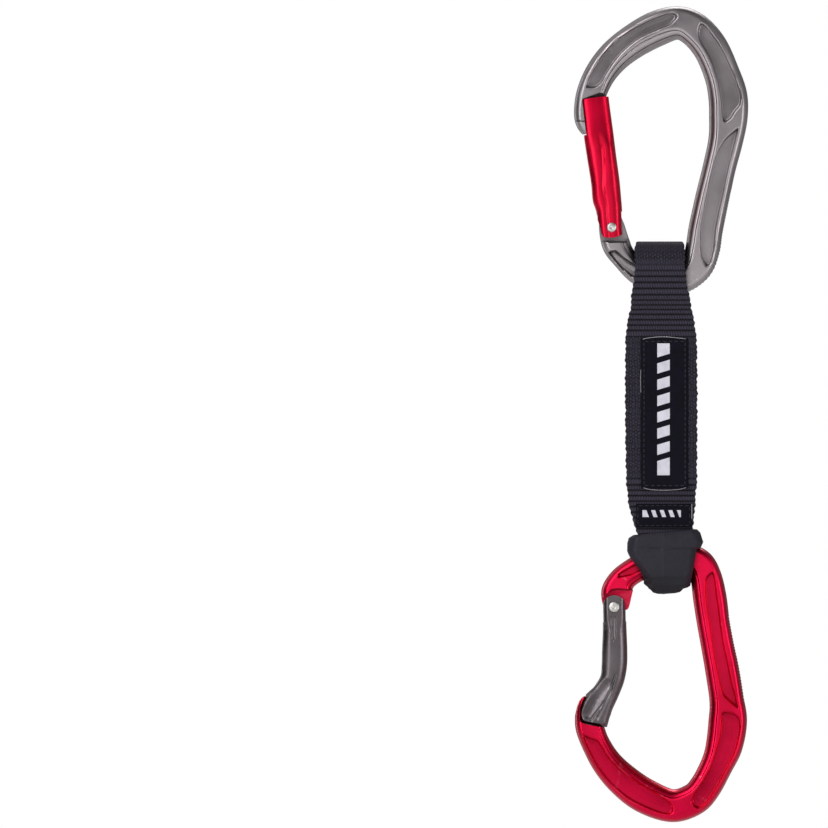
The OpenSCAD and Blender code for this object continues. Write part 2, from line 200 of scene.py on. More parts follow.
def catmull(rows, per_row):
    """smooth curve through rows: the row number of each sample, and the samples"""
    rows = np.asarray(rows, float)
    n = len(rows) - 1
    t = np.linspace(0, n, n * per_row + 1)
    k = np.minimum(t.astype(int), n - 1)
    f = (t - k)[:, None]
    a, b, c, d = (rows[np.clip(k + step, 0, n)] for step in (-1, 0, 1, 2))
    value = 0.5 * (2 * b + (c - a) * f + (2 * a - 5 * b + 4 * c - d) * f ** 2
                   + (3 * b - a - 3 * c + d) * f ** 3)
    return t, value


def walk(rows, step):
    """even samples along a curve through rows, whose first two columns are the place

    Returned are distances, values, directions and row numbers, and fine row numbers with their distances.
    """
    u, value = catmull(rows, 60)
    s = np.concatenate([[0], np.cumsum(np.linalg.norm(np.diff(value[:, :2], axis=0), axis=1))])
    even = np.linspace(0, s[-1], max(int(round(s[-1] / step)), 2) + 1)
    out = np.stack([np.interp(even, s, column) for column in value.T], 1)
    rising = s + 1e-9 * np.arange(len(s))
    way = np.stack([np.interp(even, s, np.gradient(value[:, k], rising)) for k in (0, 1)], 1)
    way /= np.linalg.norm(way, axis=1)[:, None]
    return even, out, way, np.interp(even, s, u), (u, s)


def table(x, pairs):
    pairs = np.asarray(pairs, float)
    return np.interp(x, pairs[:, 0], pairs[:, 1])


def ease(t):
    t = np.clip(t, 0, 1)
    return t * t * (3 - 2 * t)


def line_distance(points, line):
    """distance of points from a line of straight stretches"""
    best = np.full(points.shape[:-1], 1e9)
    for p, q in zip(line[:-1], line[1:]):
        d = q - p
        t = np.clip(((points - p) @ d) / max(d @ d, 1e-12), 0, 1)
        best = np.minimum(best, np.linalg.norm(points - p - t[..., None] * d, axis=-1))
    return best


def inside_distance(points, outline):
    """distance of points inside a closed outline from it, and minus the distance of points outside it"""
    closed = np.concatenate([outline, outline[:1]])
    inside = np.zeros(len(points), bool)
    for p, q in zip(closed[:-1], closed[1:]):
        if p[1] != q[1]:
            at = p[0] + (points[:, 1] - p[1]) * (q - p)[0] / (q - p)[1]
            inside ^= ((p[1] > points[:, 1]) != (q[1] > points[:, 1])) & (points[:, 0] < at)
    distance = line_distance(points, closed)
    return np.where(inside, distance, -distance)


# ---------------------------------------------------------------- forged bodies
# Rows along each bar, nose first: x, z, half width, half thickness as a share

UPPER_ROWS = [
    (-31.6, -34.3, 2.4, .64), (-32.1, -31, 4.1, .84), (-32.2, -26.5, 4.8, .88), (-30.9, -19.9, 5.2, .9),
    (-27.8, -12.9, 5.4, .92), (-22.9, -6.6, 5.7, .94), (-16.2, -1.2, 6, .96), (-7.3, 3.8, 6.3, 1),
    (.6, 6, 5.9, 1), (6.8, 3.5, 6.1, 1), (12.5, -3, 6.2, .98), (16.6, -12.2, 6.3, .96),
    (18.9, -20.6, 6.9, .94), (19.1, -28.6, 6.8, .94), (18.1, -37, 6.1, .92), (15.7, -47.2, 5.8, .92),
    (13.2, -58.2, 6, .92), (10.9, -69.2, 6.1, .92), (9.7, -76.8, 6.1, .94), (7.5, -83.1, 5.6, .96),
    (2.2, -87.8, 4.7, .96), (-5.4, -89.4, 4.2, .96), (-13.5, -85.4, 4.1, .96), (-18.9, -79.6, 4.3, .94),
    (-21.8, -74.8, 4.9, .92), (-23.4, -68.6, 4.5, .92), (-23.98, -64.73, 3.7, .92)]
LOWER_ROWS = [
    (-32.6, -239.5, 1.9, .64), (-32.9, -242.2, 2.9, .8), (-32.9, -246, 3.8, .88), (-31.6, -250.8, 4.9, .9),
    (-29.2, -257.1, 4.9, .92), (-25, -264.2, 5.3, .94), (-18.9, -270.6, 5.9, .96), (-11.2, -276.1, 6.2, .98),
    (-1.6, -279.6, 5.8, 1), (6.1, -277.5, 5.7, 1), (10.6, -272.9, 5.6, .98), (14.9, -264.8, 5.7, .96),
    (17.6, -257.7, 6.5, .94), (18.9, -248.8, 6.8, .94), (18.5, -240.8, 6.1, .92), (16.9, -230.2, 6, .92),
    (15.1, -220.8, 5.8, .92), (13.5, -211.9, 5.8, .92), (12.3, -203.5, 5.9, .92), (10.9, -196.1, 5.5, .92),
    (8.2, -191.1, 5.2, .94), (2.5, -188.9, 4.9, .94), (-4.2, -189.2, 4.7, .94), (-10.4, -191.4, 4.8, .94),
    (-16.4, -194.6, 4.5, .94), (-19.9, -197.8, 4.8, .92), (-21.3, -201.7, 5.7, .92),
    (-21.6, -207.1, 4.8, .92), (-22.6, -211, 3.3, .92)]

# Outlines of the forged pockets: row number along the bar, and mm outward of its centreline.
# The last of each body is the one beside its hinge.
UPPER_POCKETS = [
    [(3.2, 2.6), (3.55, 3), (4.05, 2.9), (4.92, 3.6), (5.6, 4), (6.4, 3.9), (7.2, 3.8), (7.75, 3.7),
     (7.95, 2.6), (7.88, 1.1), (7.58, -.4), (6.97, -.6), (6.3, -.3), (5.47, -.9), (4.78, -1.5),
     (4.15, -1.9), (3.67, -1.8), (3.35, -.4)],
    [(9.03, 2.9), (9.2, 3.6), (9.65, 3.3), (10.1, 3.4), (10.5, 3.6), (11, 4), (11.65, 4.4), (12.1, 4.7),
     (12.43, 4.2), (12.72, 2.3), (13, 1), (13.2, -1.1), (13.03, -2.1), (12.4, -2.8), (11.65, -2.7),
     (10.6, -2.2), (9.75, -2.1), (9.35, -1.1), (9.12, .7)],
    [(13.5, 3.9), (14.1, 3.4), (15, 3.4), (16, 3.6), (16.55, 3.5), (17.3, 3.8), (18.15, 4), (18.57, 3.9),
     (18.73, 2.8), (18.5, .7), (18, -.9), (17.3, -1.8), (16.5, -2.4), (15.6, -2.5), (14.7, -2.4),
     (14.2, -1.3), (13.85, .3), (13.45, 3.5)],
    [(20.5, 1.9), (20.9, 2.1), (21.4, 2.2), (22.1, 2.4), (22.82, 3.4), (23.48, 3.8), (23.75, 3.7),
     (23.68, 1.7), (23.18, .6), (22.65, -.1), (22.35, -1.1), (21.4, -1.4), (20.9, -1.3), (20.5, -.8)]]
LOWER_POCKETS = [
    [(3.3, 3.2), (4.25, 3.35), (5.2, 3.75), (6.2, 4), (7.2, 3.5), (7.95, 3.1), (8.05, .6), (7.95, -.9),
     (7.72, -1.9), (7.3, -2.7), (6.6, -2.9), (5.88, -2.3), (5.17, -1.9), (4.42, -1.6), (3.9, -1.1),
     (3.62, .8)],
    [(9, 3.4), (9.25, 3.7), (9.7, 3.7), (10.35, 3.6), (10.93, 3.7), (11.6, 4.15), (12.3, 4.6), (13, 4.5),
     (13.32, 2.6), (13.42, .2), (13.4, -2), (12.95, -2.5), (12.3, -2.4), (11.55, -2.5), (10.8, -1.9),
     (9.9, -2), (9.4, -1.9), (8.97, -.4), (8.9, 1.7)],
    [(13.57, 3.8), (14.12, 3.2), (14.62, 2.6), (15.3, 2.4), (16.1, 2.3), (17.4, 2.7), (18.3, 2.7), (18.95, 3),
     (19.15, 2.6), (18.93, -.1), (18.35, -1.3), (17.7, -1.8), (16.8, -1.7), (16, -2), (15, -2.1),
     (14.28, -1.4), (13.97, .4)],
    [(21.8, 1.6), (23, 1.7), (24, 2), (24.55, 2.4), (24.85, 2.3), (24.8, 1.2), (24.45, .2), (24, -.8),
     (23.2, -1.2), (22, -1)]]
# Width of the slope along the inner edge, by row number
UPPER_CHAMFER = [(0, 1.5), (3, 1.7), (3.5, 1.9), (4.8, 3), (6.3, 4), (7, 4), (8, 3), (9, 2.5), (26, 2.4)]
LOWER_CHAMFER = [(0, 1.4), (3.4, 1.8), (5, 2.5), (6.5, 3), (8, 2.8), (9, 2.5), (28, 2.4)]

# Section of a bar: distance in from an edge, and the share of the half thickness there. The inner edge
# has two fine scored lines, the second at STEP_END, which is drawn out to the chamfer's width.
INNER_EDGE = [(0, .3), (.12, .44), (.4, .6), (.8, .74), (1.02, .79), (1.14, .755), (1.26, .81), (1.6, .87),
              (2.1, .93), (2.3, .945), (2.42, .905), (2.54, .965), (3, .99), (3.4, 1)]
OUTER_EDGE = [(0, .3), (.12, .46), (.4, .65), (.85, .82), (1.35, .925), (1.85, .98), (2.3, 1)]
STEP_END = 2.42
FULL_WIDTH = 4.6  # half width from which a bar has its edges at full size
BASKET_HALF = box_mm("upper_body")[1][1]
POCKET_DEPTH = 1.35
TOOTH_PITCH, TOOTH_DEPTH = 1.1, .24


def pocket_depth(within, floor):
    """depth at a distance inside a pocket's outline: a steep wall, a dished floor, and a score at the edge"""
    score = 0.3 * np.exp(-((within - .05) / .2) ** 2)
    return floor * ease((within + 0.1) / 0.6) + 0.12 * ease(within / 2.5) + score


def forging(name, rows, side, pockets, chamfer, teeth, hinge_pocket):
    """forged bar with rounded edges, pockets in both faces, and fine teeth on the back of the spine"""
    s, value, way, u, (u_fine, s_fine) = walk(rows, 0.3)
    x, z, w, share = value.T[..., None]
    s = s[:, None]
    k = np.minimum(1, w / FULL_WIDTH)
    ridge = table(u, chamfer)[:, None] / STEP_END
    left = -w + k * np.array([at for at, _ in INNER_EDGE]) * ridge
    right = w - k * np.array([at for at, _ in OUTER_EDGE[::-1]])
    middle = left[:, -1:] + (right[:, :1] - left[:, -1:]) * np.linspace(0, 1, 46)[1:-1]
    n = np.concatenate([left, middle, right], 1)
    from_inner = (n + w) / k / ridge
    from_outer = (w - n) / k
    half = np.minimum(table(from_inner, INNER_EDGE), table(from_outer, OUTER_EDGE)) * (BASKET_HALF * share)
    # the faces are slightly domed
    half -= 0.12 * ((n / w) ** 2)
    points = np.stack([np.broadcast_to(s, n.shape), n], -1).reshape(-1, 2)
    drop = np.zeros(len(points))
    for pocket in pockets:
        closed = catmull(pocket + pocket[:1], 5)[1][:-1]
        outline = np.stack([np.interp(closed[:, 0], u_fine, s_fine), closed[:, 1]], 1)
        near = (points[:, 0] > outline[:, 0].min() - 1) & (points[:, 0] < outline[:, 0].max() + 1)
        floor = POCKET_DEPTH * (hinge_pocket if pocket is pockets[-1] else 1)
        drop[near] = np.maximum(drop[near], pocket_depth(inside_distance(points[near], outline), floor))
    half -= drop.reshape(n.shape)
    toothed = ease((teeth[1] + 1.5 - z) / 3) * ease((z - teeth[0] + 1.5) / 3) * (x > 0)
    bite = TOOTH_DEPTH * toothed * (1 - np.abs(np.sin(math.pi * s / TOOTH_PITCH)))
    n = n - bite * np.clip(1 - from_outer / 1.6, 0, 1)
    centre, across = value[:, :2], left_of(way) * side
    edge_in = beside(centre, across, n[:, :1] - 0.22 * k, 0 * k)
    edge_out = beside(centre, across, n[:, -1:] + 0.25 * k, 0 * k)
    front, back = beside(centre, across, n, -half), beside(centre, across, n, half)
    return skin(name, np.concatenate([edge_in, front, edge_out, back[:, ::-1]], 1))


# Half thickness of the hinge tab and of the nose inside a gate's fork, and the gap between gate and body
TAB = 1.85
GAP = 0.4
RIVET_HOLE = 1.52
# Distance from a hinge's axis to where its gate ends and to where the slim nose ends
UPPER_GATE_END, UPPER_NOSE_END = 47.4, 35.4
LOWER_GATE_END, LOWER_NOSE_END = 43.6, 34.3
SLIM_NOSE = -29.6  # x up to which both noses reach into their gates


def groove(line, width, inner):
    """narrow slot along a line, cut from both faces down to a half thickness"""
    line = np.array(line, float)
    way = np.gradient(line, axis=0)
    way /= np.linalg.norm(way, axis=1)[:, None]
    side = left_of(way) * width / 2 * np.array([.3] + [1] * (len(line) - 2) + [.6])[:, None]
    return both_sides(np.concatenate([line + side, (line - side)[::-1]]), inner)


def nose_gap(top, z0, z1):
    """room for the gate beside the slim nose, below (or above) the arc that its end swings along"""
    inner = [p for p in top if p[0] > SLIM_NOSE]
    return plate([(SLIM_NOSE, z0), (SLIM_NOSE, inner[0][1])] + inner + [(-12, z1), (-12, z0)])


def make_upper_body():
    body = forging("upper_body_forging", UPPER_ROWS, 1, UPPER_POCKETS, UPPER_CHAMFER, (-88, -54), 1.8)
    top = arc(UPPER_PIVOT, UPPER_GATE_END + GAP, 103.4, 76)
    room = [(-32.6, -45), (-32.9, -34), (-34.35, -22.1), (-34.05, -21.7), (-27.9, -19.4), (-26.1, -19.8),
            (-25.6, -20.75), (-24.6, -20.95)]
    cutters = both_sides(room + top[24:] + [(-12, -24), (-18, -45)], TAB)
    wedge = [(-33.6, -22.4), (-33.6, -21.7), (-27.9, -19.55), (-26.3, -19.9), (-26.3, -22.4)]
    cutters += both_sides(wedge, .5)
    cutters.append(nose_gap(top, -45, -24))
    cutters.append(plate(arc(UPPER_PIVOT, UPPER_NOSE_END, 108, 80) + [(-18, -40), (-40, -40)]))
    fork = [(-32.5, -59.6), (-32.5, -70), (-28.5, -73.2), (-26.5, -74.1), (-18.6, -74.1), (-17, -72),
            (-14.5, -68.6), (-14.5, -59.6)]
    cutters += both_sides(fork, TAB)
    cutters.append(rod(UPPER_PIVOT, RIVET_HOLE))
    # narrow groove round the nose's head, and the one just below the hinge
    cutters += both_sides([(-38, -29.5), (-32, -29.8), (-32, -30.2), (-38, -29.9)], 2.2)
    cutters += groove([(-25.5, -73.5), (-24.6, -73.9), (-18.2, -74)], .95, .9)
    # sharp steps beside the pocket below the hinge
    long_step = [(-23.7, -78.2), (-23, -77.3), (-22.1, -77.2), (-20.8, -78.3), (-19.2, -79.8), (-14, -83.1)]
    cutters += groove(long_step, .8, 1.6)
    cutters += groove([(-22.7, -79.5), (-19.8, -82.9), (-16.2, -86.3)], .5, 1.8)
    return carve(body, cutters)


def make_lower_body():
    body = forging("lower_body_forging", LOWER_ROWS, -1, LOWER_POCKETS, LOWER_CHAMFER, (-242, -211), .9)
    top = arc(LOWER_PIVOT, LOWER_GATE_END + GAP, 255, 284)
    room = [(-32.9, -230), (-32.9, -239.3), (-34.3, -241.3), (-35.15, -244), (-35.2, -248.6), (-34.7, -249.2)]
    room += [p for p in top if p[0] > -33.8] + [(-12, -240), (-12, -230)]
    cutters = both_sides(room, TAB)
    # the nose's own rounded head
    head = [(-38, -238), (-32.5, -238), (-32.8, -239.45), (-33.6, -239.8), (-34.3, -240.3), (-35.2, -241.4),
            (-35.9, -243), (-36.45, -245), (-36.9, -247), (-38, -247)]
    cutters.append(plate(head))
    cutters.append(nose_gap(top, -230, -240))
    cutters.append(plate(arc(LOWER_PIVOT, LOWER_NOSE_END, 250, 284) + [(-12, -225), (-38, -225)]))
    fork = [(-13.6, -216.1), (-13.6, -201.2), (-16.9, -200.9), (-18.6, -200.8), (-21.1, -200.5),
            (-23.4, -200.7), (-24.9, -201.7), (-26.4, -203.3), (-27.5, -205.2), (-27.9, -207.1),
            (-31.6, -207.1), (-31.6, -216.1)]
    cutters += both_sides(fork, TAB)
    # the shoulder beside the hinge ends in a small round corner
    shoulder = [(-19.35, -212), (-19.3, -211), (-18.95, -209), (-18.7, -208.3), (-17.8, -208.1),
                (-17.3, -207.5), (-17, -206.6), (-16.7, -205.5), (-16.3, -203.6), (-15.9, -201.9),
                (-15.3, -200.3), (-14.4, -199), (-10, -199), (-10, -212)]
    cutters.append(plate(shoulder))
    cutters += groove([(-24.6, -201.6), (-23.4, -200.8), (-21.1, -200.6), (-15.6, -200.9)], .8, 1)
    cutters.append(rod(LOWER_PIVOT, RIVET_HOLE))
    return carve(body, cutters)


# ---------------------------------------------------------------- gates

GATE_HALF = box_mm("upper_gate")[1][1]
GATE_CLEARANCE = .34  # between a gate's end and the arc that bounds its length
FORK_HALF = TAB + .3
UPPER_HEAD, LOWER_HEAD = 1.75, 2  # radius of a rivet's heads
# Along each gate from its hinge: centre, distance, half width, half thickness as a share
UPPER_GATE_ROWS = [
    (-.5, -5.5, 4.3, .96), (-.5, 0, 4.5, 1), (-.1, 6, 4.7, 1), (-.4, 10.5, 5.2, 1), (-.2, 17, 5.2, 1),
    (-.4, 26, 5.3, 1), (-.5, 34, 5.4, 1), (-.5, 43, 5.3, .98), (-.45, 50, 5.25, .96)]
LOWER_GATE_ROWS = [
    (.1, 5.5, 4.2, .96), (.1, 0, 4.2, 1), (.25, -8, 4.3, 1), (.25, -16, 4.6, 1), (.1, -21.5, 4.6, 1),
    (-.7, -26.5, 4.4, 1), (-3.15, -31.6, 4.8, 1), (-6.6, -37, 5.9, .98), (-7.6, -42.6, 5.2, .98),
    (-8.8, -47.5, 4.6, .96)]
# Edge of the thumb scallop on the upper gate: distance from the hinge, and place across
CREASE = [(-6, -1.7), (2.7, -1.7), (8.4, -1.4), (14, -1.8), (21, -.9), (28.6, -.4), (32, -1), (40, -1.4),
          (47, -1.7)]
# Grooves pressed into the lower gate, as (place across, distance) from its hinge; half width, depth
GATE_GROOVES = [
    ([(-.95, -3.9), (-.5, -12.2)], .22, .24), ([(.5, -3.9), (.35, -11.6)], .22, .24),
    ([(-2.6, -28.4), (-6.6, -33.6), (-9.4, -39)], 1.3, .9),
    ([(.3, -25.2), (-1.2, -30), (-3.3, -34), (-8.4, -41.3)], .3, .5),
    ([(-.8, -30.3), (-3, -34.8), (-6.2, -40.5)], .3, .5)]


def on_gate(points, pivot, lean):
    """points given from a gate's hinge axis, up its lean"""
    c, s = math.cos(lean), math.sin(lean)
    x, y, z = points[..., 0], points[..., 1], points[..., 2]
    return np.stack([pivot[0] + x * c - z * s, y, pivot[1] + x * s + z * c], -1)


def gate_plate(outline, pivot, lean, half=THROUGH):
    """prism whose outline is given from a gate's hinge axis, up its lean"""
    points = np.array([(a, 0, b) for a, b in outline])
    return plate(on_gate(points, pivot, lean)[:, [0, 2]], -half, half)


def rivet_room(at, head):
    """hole for a rivet, and a sink for each of its heads"""
    return [rod(at, 1.55)] + both_sides(arc(at, head + .05, 0, 360, 49)[:-1], GATE_HALF - .8)


def spring_bore(pivot, lean, low, high):
    """round hole up a gate, for its spring and plunger"""
    c, s = circle(40)
    ring = np.stack([1.68 * c, 1.68 * s, 0 * c], 1)
    return skin("cutter", on_gate(np.stack([ring + [0, 0, low], ring + [0, 0, high]]), pivot, lean))


def make_upper_gate():
    pivot, lean = UPPER_PIVOT, UPPER_LEAN
    x, v, w, share = walk(UPPER_GATE_ROWS, 0.5)[1].T[..., None]
    thick = GATE_HALF * share
    # the scallop, from the gate's left edge to its crease
    crease = table(v, catmull(CREASE, 12)[1])
    f = np.linspace(0, 1, 16)
    left = x - w + (crease - x + w) * (f ** 1.25)
    left_half = .34 + .65 * np.sin((f ** 1.25) ** .62 * math.pi / 2)
    # right of the crease: a flat band, then the round belly
    f = np.concatenate([[0.02], np.linspace(0.06, .93, 19), [.965, .985, 1]])
    right = crease + (x + w - crease) * f
    band = .985 - .12 * ease((right - crease) / 1.1)
    q = np.clip((right - crease - .6) / (x + w - crease - .6), 0, 1)
    belly = .865 + .11 * np.sin(np.clip(q / .55, 0, 1) * math.pi / 2)
    fall = np.sqrt(np.clip(1 - np.clip((q - .35) / .65, 0, 1) ** 2.3 * .9, .1, 1))
    right_half = np.where(right - crease < 1.1, band, belly) * fall
    across = np.concatenate([left, right], 1)
    half = np.concatenate([np.broadcast_to(left_half, left.shape), right_half], 1) * thick
    # above the scallop the gate is plainly round
    turn = np.abs((across - x) / w)
    plain = (.34 + .66 * np.sqrt(np.clip(1 - turn ** 2.6, 0, 1))) * thick
    half += (plain - half) * ease((v - 29) / 6)
    row = np.broadcast_to(v, across.shape)
    front = np.stack([across, -half, row], -1)
    back = np.stack([across, half, row], -1)[:, ::-1]
    gate = skin("upper_gate_shell", on_gate(np.concatenate([front, back], 1), pivot, lean))

    zero = (0, 0)
    ear = [(-12, -12), (-12, 0)] + arc(zero, 4.8, 180, 360) + [(12, 0), (12, -12)]
    cutters = [gate_plate(ear, pivot, lean)]
    # its foot stops short of the body's shoulder
    foot = [(-34, -60), (-34, -76), (-12, -76), (-12, -68), (-18.5, -68.6), (-18.9, -70.6), (-20.4, -71.6),
            (-22.3, -72.25), (-25.4, -72.4), (-26.6, -71.9), (-27.1, -70.9), (-28.3, -66.5)]
    cutters.append(plate(foot))
    end = arc(zero, UPPER_GATE_END + GATE_CLEARANCE, 115, 65) + [(22, 60), (-22, 60)]
    cutters.append(gate_plate(end, pivot, lean))
    cutters.append(gate_plate(arc(zero, 6.9, 0, 360)[:-1], pivot, lean, FORK_HALF))
    under = arc(zero, UPPER_NOSE_END - GAP, 112, 60)
    for edge, reach in ((.2, FORK_HALF), (-4.92, THROUGH)):
        slot = [p for p in under if p[0] < edge]
        cutters.append(gate_plate(slot + [(edge, slot[-1][1]), (edge, 60), (-14, 60)], pivot, lean, reach))
    cutters += rivet_room(pivot, UPPER_HEAD)
    cutters.append(spring_bore(pivot, lean, 5, 24))
    return carve(gate, cutters)


def make_lower_gate():
    pivot, lean = LOWER_PIVOT, LOWER_LEAN
    _, value, way, *_ = walk(LOWER_GATE_ROWS, 0.5)
    v, w, share = value.T[1:, :, None]
    f = np.concatenate([[-1, -.985, -.95, -.9], np.linspace(-.86, .86, 49), [.9, .95, .985, 1]])
    # the section is round, but squarer in the ear and in the foot that closes on the nose
    power = 2.3 + 2.2 * ease((-31 - v) / 5) + 2.4 * ease((v + 9) / 7)
    half = (.26 + .74 * np.clip(1 - np.abs(f) ** power, 0, 1) ** .6) * (GATE_HALF * share)
    front = beside(value[:, :2], left_of(way), w * f, 0 * half)
    places = front[..., [0, 2]]
    for line, width, depth in GATE_GROOVES:
        off = line_distance(places, np.array(line, float))
        half = half - depth * np.clip(1 - (off / (2 * width)) ** 2, 0, 1) ** 1.5
    # and it thins toward its end
    half = half * (1 - .35 * ease((np.linalg.norm(places, axis=-1) - LOWER_GATE_END + .9) / 1.1))
    back = front.copy()
    front[..., 1] = -half
    back[..., 1] = half
    gate = skin("lower_gate_shell", on_gate(np.concatenate([front, back[:, ::-1]], 1), pivot, lean))

    zero = (0, 0)
    ear = [(-12, 12), (-12, 0)] + arc(zero, 4.25, 180, 0) + [(12, 0), (12, 12)]
    cutters = [gate_plate(ear, pivot, lean)]
    end = arc(zero, LOWER_GATE_END + GATE_CLEARANCE, 235, 290) + [(22, -60), (-30, -60)]
    cutters.append(gate_plate(end, pivot, lean))
    cutters.append(gate_plate(arc(zero, 6.9, 0, 360)[:-1], pivot, lean, FORK_HALF))
    slot = [p for p in arc(zero, LOWER_NOSE_END - GAP, 235, 290) if p[0] < -6.6]
    cutters.append(gate_plate(slot + [(-6.6, slot[-1][1]), (-6.6, -60), (-25, -60)], pivot, lean, FORK_HALF))
    under = [p for p in arc(pivot, LOWER_NOSE_END - GAP, 235, 290) if p[0] < -32.7]
    side = under + [(-32.6, under[-1][1] - .1), (-32.65, -239.3), (-34, -241.3), (-34.85, -244),
                    (-34.95, -248.2), (-34.2, -249.3), (-34.6, -250.5), (-38, -262), (-52, -262)]
    cutters.append(plate(side))
    cutters += both_sides([(-32.7, -239.1), (-30.5, -236.7), (-30, -237.4), (-32.1, -239.7)], 3.1)
    cutters += rivet_room(pivot, LOWER_HEAD)
    cutters.append(spring_bore(pivot + [.2, 0], lean, -24, -5))
    return carve(gate, cutters)


def make_rivet(name, at, head):
    """pin with a low domed head on each end, and a small stamped centre"""
    top = GATE_HALF - .75
    profile = [(1.5, 0), (1.5, top - .3), (head - .12, top), (head, top + .12), (head, top + .5),
               (head - .12, top + .66), (.8 * head, top + .84), (.55 * head, top + .95),
               (.42 * head, top + .97), (.36 * head, top + .86), (.2 * head, top + .8), (.02, top + .82)]
    c, s = circle(48)
    rings = [np.stack([at[0] + r * c, np.full(48, y), at[1] + r * s], 1)
             for r, y in [(r, -y) for r, y in profile[::-1]] + profile]
    return skin(name, rings)


# ---------------------------------------------------------------- webbing

RIB = 2.15  # pitch of the ribs
HALF_LAYER = 1.1
BAR_RADIUS = 6.4  # of the webbing's middle round a bar
# Height, and x of the left and the right edge of the sling
STRAP_SIDES = [
    (-73.5, -14.6, 2.8), (-75.4, -15, 3.1), (-86, -15.1, 3.3), (-91, -15.9, 4.2), (-97, -16.4, 5.5),
    (-99.3, -16.8, 5.9), (-104.2, -17.9, 6.9), (-110, -18.4, 7.6), (-128, -18.5, 7.75), (-146, -18.4, 7.7),
    (-161, -18.1, 7.6), (-168, -17.5, 7.1), (-172.5, -16.6, 6.8), (-180, -14.2, 5.8), (-188, -13.6, 5.4),
    (-201, -9.6, 2.4)]
# Rounded edge of the webbing: distance in from it, and the share of the half thickness there
SELVEDGE = np.array([(0, .12), (.03, .38), (.12, .64), (.3, .84), (.55, .95), (.9, 1), (1.4, 1)])


def strip(name, path, ribs=1.0, side=-1, inset=0.0):
    """layer of webbing along (y, z) points. side is -1 where its outer face looks to -Y at its start"""
    s, value, way, *_ = walk(path, 0.215)
    y, z = value.T[..., None]
    s = s[:, None]
    heights, lefts, rights = np.array(STRAP_SIDES)[::-1].T
    drift = 0.12 * np.sin(z * .83 + 1) + 0.07 * np.sin(z * 1.9)
    left = np.interp(z, heights, lefts) + inset + 0.14 * np.cos(2 * math.pi * z / RIB) + drift
    right = np.interp(z, heights, rights) - inset + 0.14 * np.cos(2 * math.pi * z / RIB + .7) - drift[::-1]
    edge, rise = SELVEDGE.T
    face = np.linspace(0, 1, 24)[1:-1]
    across = np.concatenate([left + edge, left + edge[-1] + (right - left - 2 * edge[-1]) * face,
                             (right - edge)[:, ::-1]], 1)
    swell = np.concatenate([rise, np.ones(len(face)), rise[::-1]])
    # the ribs fade where the webbing is pressed flat, on its way to the bar and round it
    strength = ribs * (.3 + .7 * ease((-76 - z) / 5)) * (.35 + .65 * ease((-81 - z) / 6))
    valley = np.abs(np.sin(math.pi * s / RIB)) ** .55
    lift = HALF_LAYER * swell + 0.46 * strength * (valley - 1) * np.clip((swell - .6) / .4, 0, 1)
    outward = -left_of(way)
    if outward[0, 0] * side < 0:
        outward = -outward
    outer, inner = (np.stack([across, y + outward[:, :1] * off, z + outward[:, 1:] * off], -1)
                    for off in (lift, -lift))
    rings = np.concatenate([outer, inner[:, ::-1]], 1)
    obj = skin(name, rings)
    # the material reads how strong the ribs are, and the place across and along the webbing
    columns = rings.shape[1]
    relief = obj.data.attributes.new("relief", "FLOAT", "POINT")
    relief.data.foreach_set("value", np.repeat(strength, columns).astype(np.float32))
    uv = obj.data.uv_layers.new(name="weave")
    flat = np.stack([rings[..., 0].reshape(-1), np.repeat(s, columns)], 1)
    index = np.zeros(len(obj.data.loops), int)
    obj.data.loops.foreach_get("vertex_index", index)
    uv.data.foreach_set("uv", flat[index].astype(np.float32).reshape(-1))
    return obj


def loop_path(leg, bar, toward):
    """a loop's front leg, its arch round the bar and its back leg. toward is 1 where the arch is on top"""
    turn = arc((0, bar), BAR_RADIUS, 180 - 15 * toward, 180 - 165 * toward, 11)
    return leg + turn + [(-y, z) for y, z in leg[::-1]]


# ---------------------------------------------------------------- materials

def tint(colour, share):
    return tuple(share * c for c in colour)


class Graph:
    """small helper that adds nodes to an empty node tree"""

    def __init__(self, tree, place):
        self.tree = tree
        tree.nodes.clear()
        self.place = self.node("ShaderNodeTexCoord", {}, place)

    def put(self, socket, value):
        if isinstance(value, bpy.types.NodeSocket):
            self.tree.links.new(value, socket)
        elif socket.type == "RGBA":
            socket.default_value = (*value, 1)
        else:
            socket.default_value = value

    def node(self, kind, inputs, output=0, **settings):
        node = self.tree.nodes.new(kind)
        for key, value in settings.items():
            setattr(node, key, value)
        for key, value in inputs.items():
            self.put(node.inputs[key], value)
        return node.outputs[output]

    def math(self, operation, *values):
        return self.node("ShaderNodeMath", dict(enumerate(values)), operation=operation)

    def times(self, a, b):
        return self.math("MULTIPLY", a, b)

    def plus(self, a, b):
        return self.math("ADD", a, b)

    def wave(self, a):
        """size of the sine"""
        return self.math("ABSOLUTE", self.math("SINE", a))

    def split(self, vector=None):
        node = self.tree.nodes.new("ShaderNodeSeparateXYZ")
        self.put(node.inputs[0], vector or self.place)
        return node.outputs

    def noise(self, per_mm, detail=3.0, rough=0.5):
        return self.node("ShaderNodeTexNoise", {"Vector": self.place, "Scale": per_mm / MM,
                                                 "Detail": detail, "Roughness": rough})

    def mix(self, factor, a, b):
        return self.node("ShaderNodeMix", {0: factor, 6: a, 7: b}, 2, data_type="RGBA")

    def span(self, value, lo, hi, to_lo, to_hi):
        return self.node("ShaderNodeMapRange", {"Value": value, "From Min": lo, "From Max": hi,
                                                 "To Min": to_lo, "To Max": to_hi})

    def bump(self, height, distance_mm, strength, under=None):
        inputs = {"Height": height, "Distance": distance_mm * MM, "Strength": strength}
        if under:
            inputs["Normal"] = under
        return self.node("ShaderNodeBump", inputs)


